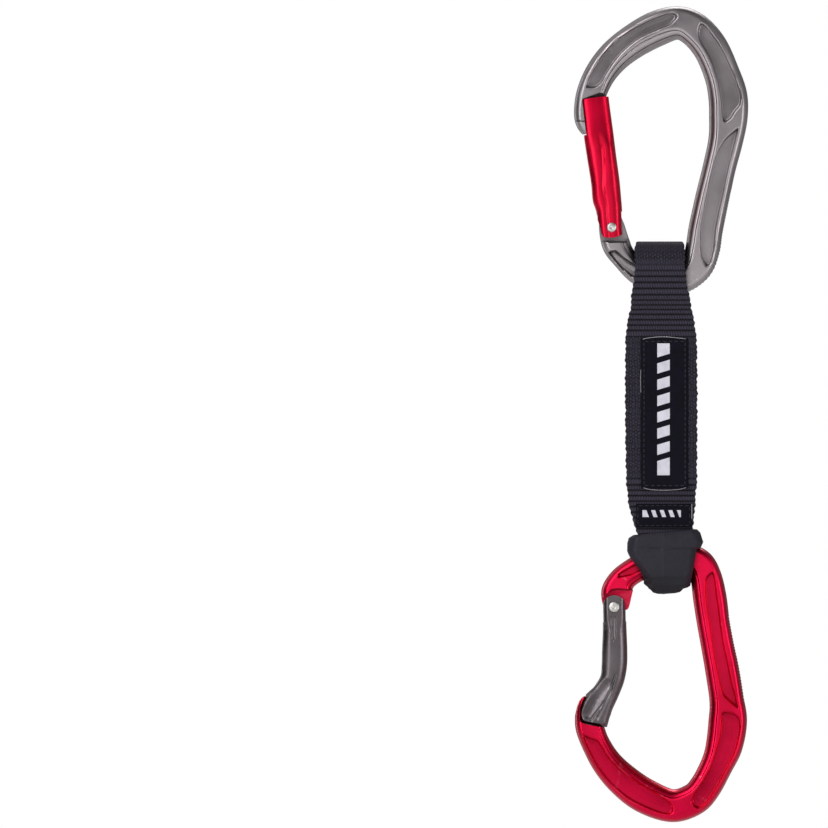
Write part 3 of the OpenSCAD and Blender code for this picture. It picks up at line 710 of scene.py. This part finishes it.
class Look(Graph):
    """one principled material"""

    def __init__(self, name):
        self.material = bpy.data.materials.new(name)
        self.material.use_nodes = True
        super().__init__(self.material.node_tree, "Object")
        out = self.tree.nodes.new("ShaderNodeOutputMaterial")
        self.shader = self.tree.nodes.new("ShaderNodeBsdfPrincipled")
        self.tree.links.new(self.shader.outputs[0], out.inputs[0])

    def set(self, **values):
        for name, value in values.items():
            self.put(self.shader.inputs[name.replace("_", " ")], value)
        return self.material

    def pointiness(self):
        return self.node("ShaderNodeNewGeometry", {}, "Pointiness")


def anodised(name, deep, plain, rubbed_and_lit, rough, coat=0.1, grain=1.0, hollow_shade=1.0, floor_shade=0.0, foot=None):
    """anodised forged aluminium: blasted grain, slightly uneven colour, paler edges that are partly rubbed
    wear and partly painted highlight, painted shade in hollows, and optional painted shade on pocket floors
    and toward a hinge
    """
    look = Look(name)
    patchy = look.noise(0.06, 4)
    fine = look.noise(2.2, 2)
    colour = look.mix(look.span(patchy, .35, .65, 0, 1), deep, plain)
    # paler sharp edges: partly rubbed wear, partly painted highlight along the lit edges
    edge = look.span(look.pointiness(), .53, .62, 0, .5)
    edge = look.times(edge, look.span(look.noise(.5, 3), .4, .7, 0.2, 1))
    colour = look.mix(edge, colour, rubbed_and_lit)
    # painted shade: darker in hollows (low pointiness) and close to other surfaces (ambient occlusion)
    colour = look.mix(look.span(look.pointiness(), .40, .485, .38 * hollow_shade, 0), colour, tint(deep, .3))
    nook = look.node("ShaderNodeAmbientOcclusion", {"Distance": 2.6 * MM}, "AO", samples=6)
    colour = look.mix(look.span(nook, .35, .9, .6 * hollow_shade, 0), colour, tint(deep, .12))
    _, y, z = look.split()
    if floor_shade:
        # painted shade: the floors of the forged pockets are darker than the faces round them
        deepest, rim = (BASKET_HALF - 1.4) * MM, (BASKET_HALF - .7) * MM
        low = look.span(look.math("ABSOLUTE", y), deepest, rim, floor_shade, 0)
        colour = look.mix(low, colour, tint(deep, .3))
    if foot:
        # painted shade: deeper toward the hinge, where the front card lights the gate more
        colour = look.mix(look.span(z, *foot, .42, 0), colour, tint(deep, .4))
    return look.set(Base_Color=colour, Metallic=1.0, Coat_Weight=coat, Coat_Roughness=.25,
                    Roughness=look.span(patchy, .3, .7, rough - .05, rough + .07),
                    Normal=look.bump(fine, .012 * grain, .6, look.bump(look.noise(.35, 2), .05 * grain, .35)))


def steel(name, colour, rough):
    look = Look(name)
    scuff = look.noise(1.2, 4)
    return look.set(Base_Color=look.mix(look.span(scuff, .35, .7, 0, 1), colour, tint(colour, .72)),
                    Metallic=1.0, Roughness=look.span(scuff, .3, .7, rough - .06, rough + .12),
                    Normal=look.bump(scuff, .01, .5))


def webbing_look(name, dark, light):
    """nylon webbing: slanted yarns that change hand from rib to rib, with a little sheen"""
    look = Look(name)
    x, y, _ = look.split(look.node("ShaderNodeUVMap", {}, uv_map="weave"))
    rib = look.math("DIVIDE", y, RIB)
    relief = look.node("ShaderNodeAttribute", {}, "Fac", attribute_name="relief")
    fuzz = look.noise(1.6, 4, .65)
    # each rib is a row of short slanted yarns, out of step with its neighbours
    slant = look.plus(look.times(x, 2 * math.pi / 1.9), look.times(look.math("FLOOR", rib), 2.4))
    slant = look.plus(slant, look.times(look.math("FRACT", rib), 1.3))
    ribbed = look.span(look.math("POWER", look.wave(slant), 1.1), 0, 1, .38, 1)
    # where the webbing lies flat, the yarns show as small uneven loops
    wale = look.wave(look.plus(look.times(x, 3.1), look.times(look.noise(.5, 2), 5.0)))
    step = look.times(look.math("FLOOR", look.times(x, 3.1 / math.pi)), 1.7)
    knit = look.times(wale, look.wave(look.plus(look.times(y, 2.6), step)))
    # round the bar the yarns are pressed flat
    knit = look.plus(look.times(knit, look.span(relief, .12, .28, .3, .95)),
                     look.span(relief, .12, .28, .3, .1))
    ribs_show = look.span(relief, .3, .45, 0, 1)
    yarn = look.plus(look.times(ribbed, ribs_show),
                     look.times(knit, look.math("SUBTRACT", 1.0, ribs_show)))
    # painted shade: the valleys between the ribs are darkened where the ribs stand out
    valley = look.wave(look.times(rib, math.pi))
    shade = look.times(look.span(valley, .1, .8, 1, 0), relief)
    colour = look.mix(look.times(yarn, look.span(fuzz, .3, .7, .6, 1.0)), dark, light)
    colour = look.mix(look.span(look.noise(.12, 2), .35, .65, 0, .35), colour, tint(light, .6))
    colour = look.mix(look.times(shade, .95), colour, tint(dark, .25))
    return look.set(Base_Color=colour, Roughness=look.span(fuzz, .3, .7, .72, .9), Sheen_Weight=.04,
                    Sheen_Roughness=.5, Specular_IOR_Level=.25,
                    Normal=look.bump(yarn, .3, 1.0, look.bump(fuzz, .06, .6)))


def label_look(name, dark, light):
    """fine satin-woven label"""
    look = Look(name)
    x, _, z = look.split()
    warp = look.math("SINE", look.times(x, 2 * math.pi / .32 / MM))
    weft = look.math("SINE", look.times(z, 2 * math.pi / .26 / MM))
    cloud = look.noise(.3, 4)
    return look.set(Base_Color=look.mix(look.span(cloud, .3, .7, 0, 1), dark, light),
                    Roughness=look.span(cloud, .3, .7, .55, .75), Specular_IOR_Level=.1,
                    Normal=look.bump(look.times(warp, weft), .035, .6, look.bump(cloud, .12, .5)))


def thread_look(name, dark, light):
    look = Look(name)
    fuzz = look.noise(2.5, 3)
    return look.set(Base_Color=look.mix(look.span(fuzz, .3, .7, 0, 1), dark, light), Sheen_Weight=.2,
                    Roughness=look.span(fuzz, .3, .7, .5, .8), Normal=look.bump(fuzz, .05, .6))


def rubber_look(name, dark, light):
    """moulded rubber, paler along its sharp edges, and darker toward its foot as painted shade"""
    look = Look(name)
    grain = look.noise(1.1, 4, .6)
    colour = look.mix(look.span(look.noise(.09, 3), .35, .65, 0, 1), dark, light)
    colour = look.mix(look.span(look.pointiness(), .52, .6, 0, .4), colour, tint(light, 1.7))
    # painted shade: darker toward the keeper's foot
    colour = look.mix(look.span(look.split()[2], -.201, -.193, .55, 0), colour, tint(dark, .4))
    return look.set(Base_Color=colour, Roughness=look.span(grain, .3, .7, .5, .68), Specular_IOR_Level=.4,
                    Normal=look.bump(grain, .03, .5))


GREY = anodised("grey_anodised", (.41, .372, .388), (.50, .458, .478), (.68, .65, .65), .38, hollow_shade=1.4,
                floor_shade=.16)
RED = anodised("red_anodised", (.76, .0018, .045), (.96, .0034, .066), (.98, .17, .28), .36, coat=.15,
               hollow_shade=1.2, floor_shade=.24)
GATE_RED = anodised("red_gate_anodised", (.76, .0014, .034), (.94, .0028, .050), (.98, .15, .24), .36,
                    coat=.2, grain=.25, hollow_shade=.15, foot=(-.072, -.038))
GATE_GREY = anodised("grey_gate_anodised", (.122, .105, .113), (.178, .155, .166), (.45, .42, .43), .36,
                     coat=.25, grain=.3, hollow_shade=.5)
STEEL = steel("rivet_steel", (.86, .84, .80), .42)
SPRING = steel("spring_steel", (.5, .5, .52), .25)
PLUNGER = steel("plunger_steel", (.42, .42, .44), .35)
WEBBING = webbing_look("nylon_webbing", (.0036, .0032, .0058), (.064, .056, .088))
LABEL = label_look("woven_label", (.0030, .0028, .0070), (.0068, .0063, .0145))
THREAD = thread_look("label_thread", (.005, .005, .009), (.014, .013, .021))
TACK_THREAD = thread_look("tack_thread", (.014, .013, .02), (.034, .032, .046))
PALE_THREAD = thread_look("pale_thread", (.24, .235, .25), (.46, .45, .47))
MARK = label_look("printed_mark", (.70, .69, .78), (.86, .85, .94))
RUBBER = rubber_look("keeper_rubber", (.0092, .0080, .0148), (.0165, .0145, .0255))

# ---------------------------------------------------------------- hardware

finish_piece(make_upper_body(), GREY, "upper_carabiner", ["upper_body"], 62)
finish_piece(make_lower_body(), RED, "lower_carabiner", ["lower_body"], 62)
finish_piece(make_upper_gate(), GATE_RED, "upper_gate", ["upper_gate"], 50)
finish_piece(make_lower_gate(), GATE_GREY, "lower_gate", ["lower_gate"], 50)
for end, pivot, head in (("upper", UPPER_PIVOT, UPPER_HEAD), ("lower", LOWER_PIVOT, LOWER_HEAD)):
    rivet = make_rivet(end + "_rivet_pin", pivot, head)
    finish_piece(rivet, STEEL, end + "_carabiner", [end + "_rivet"], 35)
for node in ("upper_plunger", "lower_plunger"):
    mesh = frame["nodes"][node].data
    mesh.materials.clear()
    mesh.materials.append(PLUNGER)


def spring_coil(end):
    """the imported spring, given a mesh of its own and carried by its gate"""
    source = frame["nodes"][end + "_spring"]
    mesh = source.data.copy()
    mesh.transform(source.matrix_world)
    obj = bpy.data.objects.new(end + "_spring_coil", mesh)
    bpy.context.scene.collection.objects.link(obj)
    finish_piece(obj, SPRING, end + "_gate", [end + "_spring"], 40)
    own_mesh(obj)


spring_coil("upper")
spring_coil("lower")

# ---------------------------------------------------------------- sling
# Each loop's front leg as (y, z) points, from the sewn middle to the bar

TOP, BOTTOM = -108.6, -160.2
UPPER_BAR, LOWER_BAR = -81.2, -193.3
UPPER_LEG = [(-2.25, TOP), (-2.2, -107.3), (-1.6, -105.5), (-1.15, -103.7), (-1.15, -100.7), (-1.9, -98.3),
             (-4, -95.3), (-5.8, -92.4), (-6.35, -89), (-BAR_RADIUS, -85), (-BAR_RADIUS, UPPER_BAR)]
LOWER_LEG = [(-2.25, BOTTOM), (-2.2, -161.4), (-1.6, -163.2), (-1.15, -165), (-1.12, -168.3), (-1.75, -171.2),
             (-3.1, -175.1), (-4.8, -180), (-6.2, -184.2), (-BAR_RADIUS, -188), (-BAR_RADIUS, LOWER_BAR)]

upper_loop = strip("upper_loop_webbing", loop_path(UPPER_LEG, UPPER_BAR, 1))
finish_piece(upper_loop, WEBBING, None, ["upper_loop"])
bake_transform(upper_loop)

for name, side, node in (("front_webbing", -1, "front_strap"), ("back_webbing", 1, "back_strap")):
    layer = strip(name, [(2.25 * side, z) for z in np.linspace(TOP, BOTTOM, 12)], .3, side)
    finish_piece(layer, WEBBING, "sling_middle", [node])
overlap = strip("overlap_webbing", [(0, z) for z in np.linspace(-109, -160, 12)], .1, inset=.3)
overlap.data.transform(Matrix.Diagonal((1, 1.2, 1, 1)))
finish_piece(overlap, WEBBING, "sling_middle", ["overlap_strap"])

lower_loop = strip("lower_loop_webbing", loop_path(LOWER_LEG, LOWER_BAR, -1))
finish_piece(lower_loop, WEBBING, None, ["lower_loop"])
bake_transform(lower_loop)

# ---------------------------------------------------------------- labels and threads

LABEL_THICK = .62
# Rolled edge of a label: distance in from it, and the share of the thickness there
ROLL = [(0, .2), (.06, .5), (.2, .82), (.45, .97), (.8, 1)]
# Waves in a label: share of its height, frequency and phase across, frequency and phase along
WAVES = [(1, .55, .3, .31, 1.1), (.6, 1.1, 2.1, .83, .4), (.4, 2.3, .9, 1.9, 2.2)]


def slab(name, x0, x1, z0, z1, face, wrinkle, flat):
    """thin sewn label on the surface y = face(z), uneven but for flat mm to each side of its middle"""
    ends = np.array([at for at, _ in ROLL[:-1]])
    t = np.linspace(0, 1, max(int((z0 - z1) / .5), 2) + 1)
    zs = np.concatenate([z0 - ends, z0 - .8 - (z0 - z1 - 1.6) * t, (z1 + ends)[::-1]])
    xs = np.concatenate([x0 + ends, np.linspace(x0 + .8, x1 - .8, 34), (x1 - ends)[::-1]])
    rise = np.outer(table(np.minimum(z0 - zs, zs - z1), ROLL), table(np.minimum(xs - x0, x1 - xs), ROLL))
    x, z = np.meshgrid(xs, zs)
    waves = sum(wrinkle * a * np.sin(x * p + q) * np.sin(z * r + o) for a, p, q, r, o in WAVES)
    waves *= ease((np.abs(x - (x0 + x1) / 2) - flat) / 2)
    base = face(zs)[:, None]
    front = base - LABEL_THICK * rise - waves * np.clip(rise * 2 - 1, 0, 1)
    back = np.broadcast_to(base + .3, front.shape)
    return skin(name, np.concatenate([np.stack([x, front, z], -1), np.stack([x, back, z], -1)[:, ::-1]], 1))


def thread_ring(at, cross, y, radius, facing):
    """section of a thread whose direction lies in the XZ plane, square to cross"""
    return [(at[0] + cross[0] * radius * c, y + facing * radius * s, at[1] + cross[1] * radius * c)
            for c, s in zip(*circle(6))]


def stitches(name, corners, face, radius):
    """row of lockstitches round a rectangle on a label, each one a short curved thread"""
    pitch, length = 1.9, 1.35
    solids = []
    for start, end in zip(corners, np.roll(corners, -1, axis=0)):
        total = np.linalg.norm(end - start)
        way = (end - start) / total
        cross = np.array([-way[1], way[0]])
        count = max(int(total / pitch), 1)
        for k in range(count):
            middle = start + way * total * (k + .5) / count + cross * random.uniform(-.05, .05)
            rings = []
            for f, share in ((-1, .35), (-.8, .8), (-.4, 1), (0, 1), (.4, 1), (.8, .8), (1, .35)):
                at = middle + way * f * length / 2
                y = face(at[1]) - LABEL_THICK - .8 * radius * (1 - 1.1 * f * f)
                rings.append(thread_ring(at, cross, y, radius * share, -1))
            solids.append(rings)
    return skins(name, solids)


def mark_blocks(name, blocks, face):
    """flat printed blocks: outlines in the XZ plane laid on a label"""
    solids = []
    for outline in blocks:
        points = np.array(outline, float)
        centre = points.mean(0)
        low = [(x, face(z) - LABEL_THICK + .03, z) for x, z in points]
        high = [(x, face(z) - LABEL_THICK - .1, z) for x, z in centre + (points - centre) * .985]
        solids.append([low, high])
    return skins(name, solids)


def slanted_row(start, end, count, slant, close):
    """ends of slanted blocks in a row with straight ends: leading side, leading side, trailing, trailing"""
    each = (end - start + slant) / count
    for k in range(count):
        a = start + k * each
        b = a + each - .75
        if k == count - 1:
            yield a, b + close, b + close, a + slant
        else:
            yield a, b - slant, b, a + (slant if k else 0)


def sew_label(size, body, box, seam, face, radius, wrinkle, flat):
    """a label with its row of stitches. box and seam are left, right, top and bottom"""
    label = slab(size + "_woven_label", *box, face, wrinkle, flat)
    finish_piece(label, LABEL, body, [size + "_label"])
    x0, x1, z0, z1 = seam
    corners = np.array([(x0, z0), (x1, z0), (x1, z1), (x0, z1)])
    row = stitches(size + "_label_stitches", corners, face, radius)
    finish_piece(row, THREAD, body, [size + "_label_stitching"])


def tube(points, radius):
    """rings of a thin thread through points"""
    line = catmull(points, 8)[1]
    last = len(line) - 1
    rings = []
    for k, at in enumerate(line):
        way = line[min(k + 1, last)] - line[max(k - 1, 0)]
        side = np.cross(way, (0, 1, 0))
        side /= np.linalg.norm(side)
        lift = np.cross(side, way)
        lift /= np.linalg.norm(lift)
        r = radius * (.4 if k in (0, last) else 1)
        rings.append([at + r * (c * side + s * lift) for c, s in zip(*circle(6))])
    return rings


def strap_face(z):
    """y of the front of the sling's sewn middle, under the long label"""
    return long_hi[1] + 0 * z


def leg_face(z):
    """y of the front of the lower loop's sloped leg, under the small label"""
    return -2.22 + .345 * (z + 169.15)


# the long label, and a column of plain slanted blocks on it
long_lo, long_hi = box_mm("long_label")
sew_label("long", "sling_middle", (long_lo[0], long_hi[0], long_hi[2], long_lo[2]),
          (-11.7, 3.3, -110.2, -162.8), strap_face, .17, .08, 3.2)
LEFT, RIGHT = -6.9, -2.3
blocks = [[(RIGHT, -a), (RIGHT, -b), (LEFT, -c), (LEFT, -d)]
          for a, b, c, d in slanted_row(110.9, 157, 8, 1.4, 1.4)]
finish_piece(mark_blocks("long_label_mark", blocks, strap_face), MARK, "sling_middle")

# bar tacks: dense zigzags of thread through the three layers, on the back
# Along one stroke: share of the way, height above the webbing, radius
TACK = [(0, -.15, .1), (.12, .05, .17), (.5, .05, .17), (.88, .05, .17), (1, -.15, .1)]
tack_lo, tack_hi = box_mm("bar_tacks")
solids = []
for z in (-113, -118, -123, -149, -154, -159):
    line = [np.array([x, z - (2.25 if k % 2 else .15)])
            for k, x in enumerate(np.linspace(tack_lo[0] + .2, tack_hi[0] - .2, 42))]
    for a, b in zip(line, line[1:]):
        way = (b - a) / np.linalg.norm(b - a)
        cross = np.array([-way[1], way[0]])
        solids.append([thread_ring(a + (b - a) * f, cross, tack_lo[1] + lift, radius, 1)
                       for f, lift, radius in TACK])
finish_piece(skins("bar_tack_threads", solids), TACK_THREAD, "sling_middle", ["bar_tacks"])

# loose pale threads that show along the long label's folded ends and one side
fold = long_hi[1] - .5
threads = [tube([(-12.2, fold, -109.4), (-9.6, fold - .2, -108.9), (-5, fold - .1, -108.5),
                 (-.8, fold - .2, -108.8), (3.6, fold, -109.3)], .13),
           tube([(-12, fold, -163.6), (-9, fold - .2, -164.3), (-4, fold - .1, -164.5),
                 (1, fold - .2, -164.2), (3.8, fold, -163.5)], .12),
           tube([(-12.85, fold + .1, -120.5), (-12.95, fold, -124), (-12.85, fold + .1, -129)], .1)]
finish_piece(skins("long_label_fold_threads", threads), PALE_THREAD, "sling_middle")

# the small label, with a loose thread along its right edge and a row of blocks
small_lo, small_hi = box_mm("small_label")
sew_label("small", "lower_carabiner", (small_lo[0], small_hi[0], -169.4, -178), (-13.9, 5, -170.1, -177.4),
          leg_face, .16, .05, 8.2)
edge_thread = tube([(small_hi[0] + .02, leg_face(z) - .3, z) for z in (-169.6, -171.3, -173.3, -175)], .19)
finish_piece(skin("small_label_edge_thread", edge_thread), PALE_THREAD, "lower_carabiner")
HIGH, LOW = -171.75, -174.3
blocks = [[(a, HIGH), (b, HIGH), (c, LOW), (d, LOW)] for a, b, c, d in slanted_row(-12.3, 2.5, 5, .9, -.9)]
finish_piece(mark_blocks("small_label_mark", blocks, leg_face), MARK, "lower_carabiner")

# ---------------------------------------------------------------- keeper
# left x and z, right x and z, half depth, corner radius
KEEPER_ROWS = [
    (-13.4, -181.2, 4.4, -179.2, 7, 2), (-14.2, -180.75, 5.4, -178.6, 7.6, 2.4),
    (-15.5, -180.9, 7.7, -178.8, 8.2, 2.8), (-17.2, -182, 8.8, -179.9, 8.6, 3.2),
    (-17.7, -183.8, 9.9, -183.4, 8.9, 3.5), (-17.75, -186.8, 9.1, -185.2, 9.2, 3.5),
    (-17.3, -187.9, 7.5, -186.1, 9.3, 3.4), (-16.8, -188.9, 7.2, -187.4, 9.4, 3.3),
    (-15.2, -191.1, 6.8, -189.8, 9.45, 3.4), (-13.5, -193.3, 6.5, -191.8, 9.5, 3.4),
    (-12.5, -195.3, 6, -194.6, 9.3, 3.4), (-11.7, -196.9, 5.65, -196.5, 8.4, 3.2),
    (-11.7, -198.7, 5.2, -199.3, 7.7, 3.1), (-10.7, -199.7, 4.4, -200, 7.1, 3),
    (-10.3, -200.4, 3.3, -200.4, 6.6, 2.8), (-9.6, -201.9, 2.7, -201.6, 5.6, 2.4),
    (-8.6, -202.3, 1.4, -202, 4.9, 2), (-6.6, -202.75, -.6, -202.5, 3.4, 1.4)]
KEEPER_DEPTH = 8.75  # half depth that the faces are held to, so that their crown stays near the CAD box
MOULD_LINE = -4.5
CREASE_Z = -185.7
WIDE = 7.65  # half depth of the room for the webbing round the bar
# Height, and x of the left and the right side of the room for the webbing
KEEPER_ROOM = [(-170, -17.4, 7.2), (-180, -14.5, 6.1), (-188, -13.9, 5.7), (-201.2, -9.9, 2.7)]


def rounded_ring(half, depth, corner):
    """rounded rectangle, with points along its front and back but none along its sides"""
    ring = []
    for right, up, start in ((1, 1, 0), (-1, 1, 90), (-1, -1, 180), (1, -1, 270)):
        x, y = right * (half - corner), up * (depth - corner)
        for a in np.radians([start, start + 6, start + 14, start + 76, start + 84, start + 90]):
            ring.append((x + corner * math.cos(a), y + corner * math.sin(a)))
        if right == up:
            ring += [(x * (1 - 2 * t), y + up * corner) for t in np.linspace(0, 1, 32)[1:-1]]
    return np.array(ring)


def make_keeper():
    at = np.arange(0, len(KEEPER_ROWS) - .99, .2)
    columns = [np.interp(at, np.arange(len(KEEPER_ROWS)), column) for column in zip(*KEEPER_ROWS)]
    rings = []
    for x0, z0, x1, z1, depth, corner in zip(*columns):
        half = (x1 - x0) / 2
        corner = min(corner - max(depth - KEEPER_DEPTH, 0), half - .1, depth - .1)
        depth = min(depth, KEEPER_DEPTH)
        x, y = rounded_ring(half, depth, corner).T
        x += (x1 + x0) / 2
        z = z0 + (z1 - z0) * (x - x0) / (x1 - x0)
        # faces crown gently, with a crease across and the mould's joint as a faint raised line
        off = x - MOULD_LINE
        crown = .7 * (1 - np.abs(off) / half) + .12 * np.exp(-(off / .4) ** 2)
        crown -= .28 * np.exp(-((z - CREASE_Z) / .3) ** 2)
        y += np.sign(y) * crown * (np.abs(y) > depth - .05)
        rings.append(np.stack([x, y, z], 1))
    keeper = skin("rubber_keeper", rings)
    hole = [(-2.6, -170), (-WIDE, -184.4)] + arc((0, LOWER_BAR), WIDE, 180, 360, 31)
    hole += [(WIDE, -184.4), (2.6, -170)]
    heights, *both = np.array(KEEPER_ROOM)[::-1].T
    room = skin("cutter", [[(np.interp(z, heights, side), y, z) for y, z in hole] for side in both])
    # the channel for the bar is open below
    channel = plate([(-24, -204.5), (-14.3, -199.6), (-10, -197.3), (-6, -195.4), (-2, -194.5), (1, -194.5),
                     (3.5, -195.8), (5.2, -198), (12, -212), (-24, -212)], -5, 5)
    return carve(keeper, [room, channel])


finish_piece(make_keeper(), RUBBER, "lower_carabiner", ["keeper"], 42)

# ---------------------------------------------------------------- floor, light, camera

FAR, DOWN = 2600, -560
floor = new_object("floor", [(-FAR, -FAR, DOWN), (FAR, -FAR, DOWN), (FAR, FAR, DOWN), (-FAR, FAR, DOWN)],
                   [[0, 1, 2, 3]])
paper = Look("floor_paper")
paper.set(Base_Color=paper.mix(paper.noise(.01, 2), (.86, .86, .86), (.9, .9, .9)), Roughness=.9)
floor.data.materials.append(paper.material)

world = bpy.data.worlds.new("studio")
bpy.context.scene.world = world
world.use_nodes = True
studio = Graph(world.node_tree, "Generated")


def glow(value, lo, hi, power):
    """light that grows from none to full as a value goes from lo to hi"""
    grown = studio.node("ShaderNodeMapRange", {"Value": value, "From Min": lo, "From Max": hi},
                        interpolation_type="SMOOTHSTEP")
    return studio.times(grown, power)


# A dim room with pale walls in front, behind and on the right, a bright ceiling on the left, and white
# paper behind what is seen
x, y, z = studio.split()
ceiling = studio.plus(studio.times(z, .70), studio.times(x, -.52))
ceiling = studio.plus(ceiling, studio.times(studio.math("ABSOLUTE", y), .49))
level = studio.plus(glow(studio.times(y, -1.0), .3, .95, .04), glow(y, .45, 1.0, .09))
level = studio.plus(level, glow(ceiling, .74, .97, .45))
level = studio.plus(level, glow(x, .4, .9, .22))
seen = studio.node("ShaderNodeLightPath", {}, "Is Camera Ray")
level = studio.math("MAXIMUM", studio.plus(level, .06), seen)
out = studio.tree.nodes.new("ShaderNodeOutputWorld")
studio.put(out.inputs[0], studio.node("ShaderNodeBackground", {"Color": level}))

MIDDLE = -.137  # height of the draw's middle, in metres as are all places below


def soft_light(name, place, width, height, power, aim=MIDDLE):
    """rectangular light that faces the draw's line at a height"""
    light = bpy.data.lights.new(name, "AREA")
    light.shape = "RECTANGLE"
    light.size = width
    light.size_y = height
    light.energy = power
    obj = bpy.data.objects.new(name, light)
    obj.location = place
    obj.visible_camera = False
    obj.rotation_euler = (Vector((0, 0, aim)) - Vector(place)).to_track_quat("-Z", "Y").to_euler()
    bpy.context.scene.collection.objects.link(obj)


soft_light("key", (-1.0, -1.3, .9), .9, .9, 9)
soft_light("back", (.2, 1.3, 1.1), .9, .9, 8)
soft_light("strip_left", (-1.1, -1.2, -.1), .14, 1.1, 4.5)
soft_light("strip_right", (.95, -.7, -.16), .22, .5, 2.4)
soft_light("front_card", (-.005, -.28, -.163), .3, .22, .15, -.163)
soft_light("strip_behind", (-1.1, 1.2, -.1), .14, 1.1, 2)

FRAME_WIDTH = .3022
lens = bpy.data.cameras.new("camera")
lens.lens = 700
lens.sensor_width = 36
lens.clip_end = 60
camera = bpy.data.objects.new("camera", lens)
camera.location = (-.0956, -FRAME_WIDTH * lens.lens / lens.sensor_width, -.1367)
camera.rotation_euler = (math.pi / 2, 0, 0)
bpy.context.scene.collection.objects.link(camera)
bpy.context.scene.camera = camera
bpy.context.scene.view_settings.view_transform = "Standard"
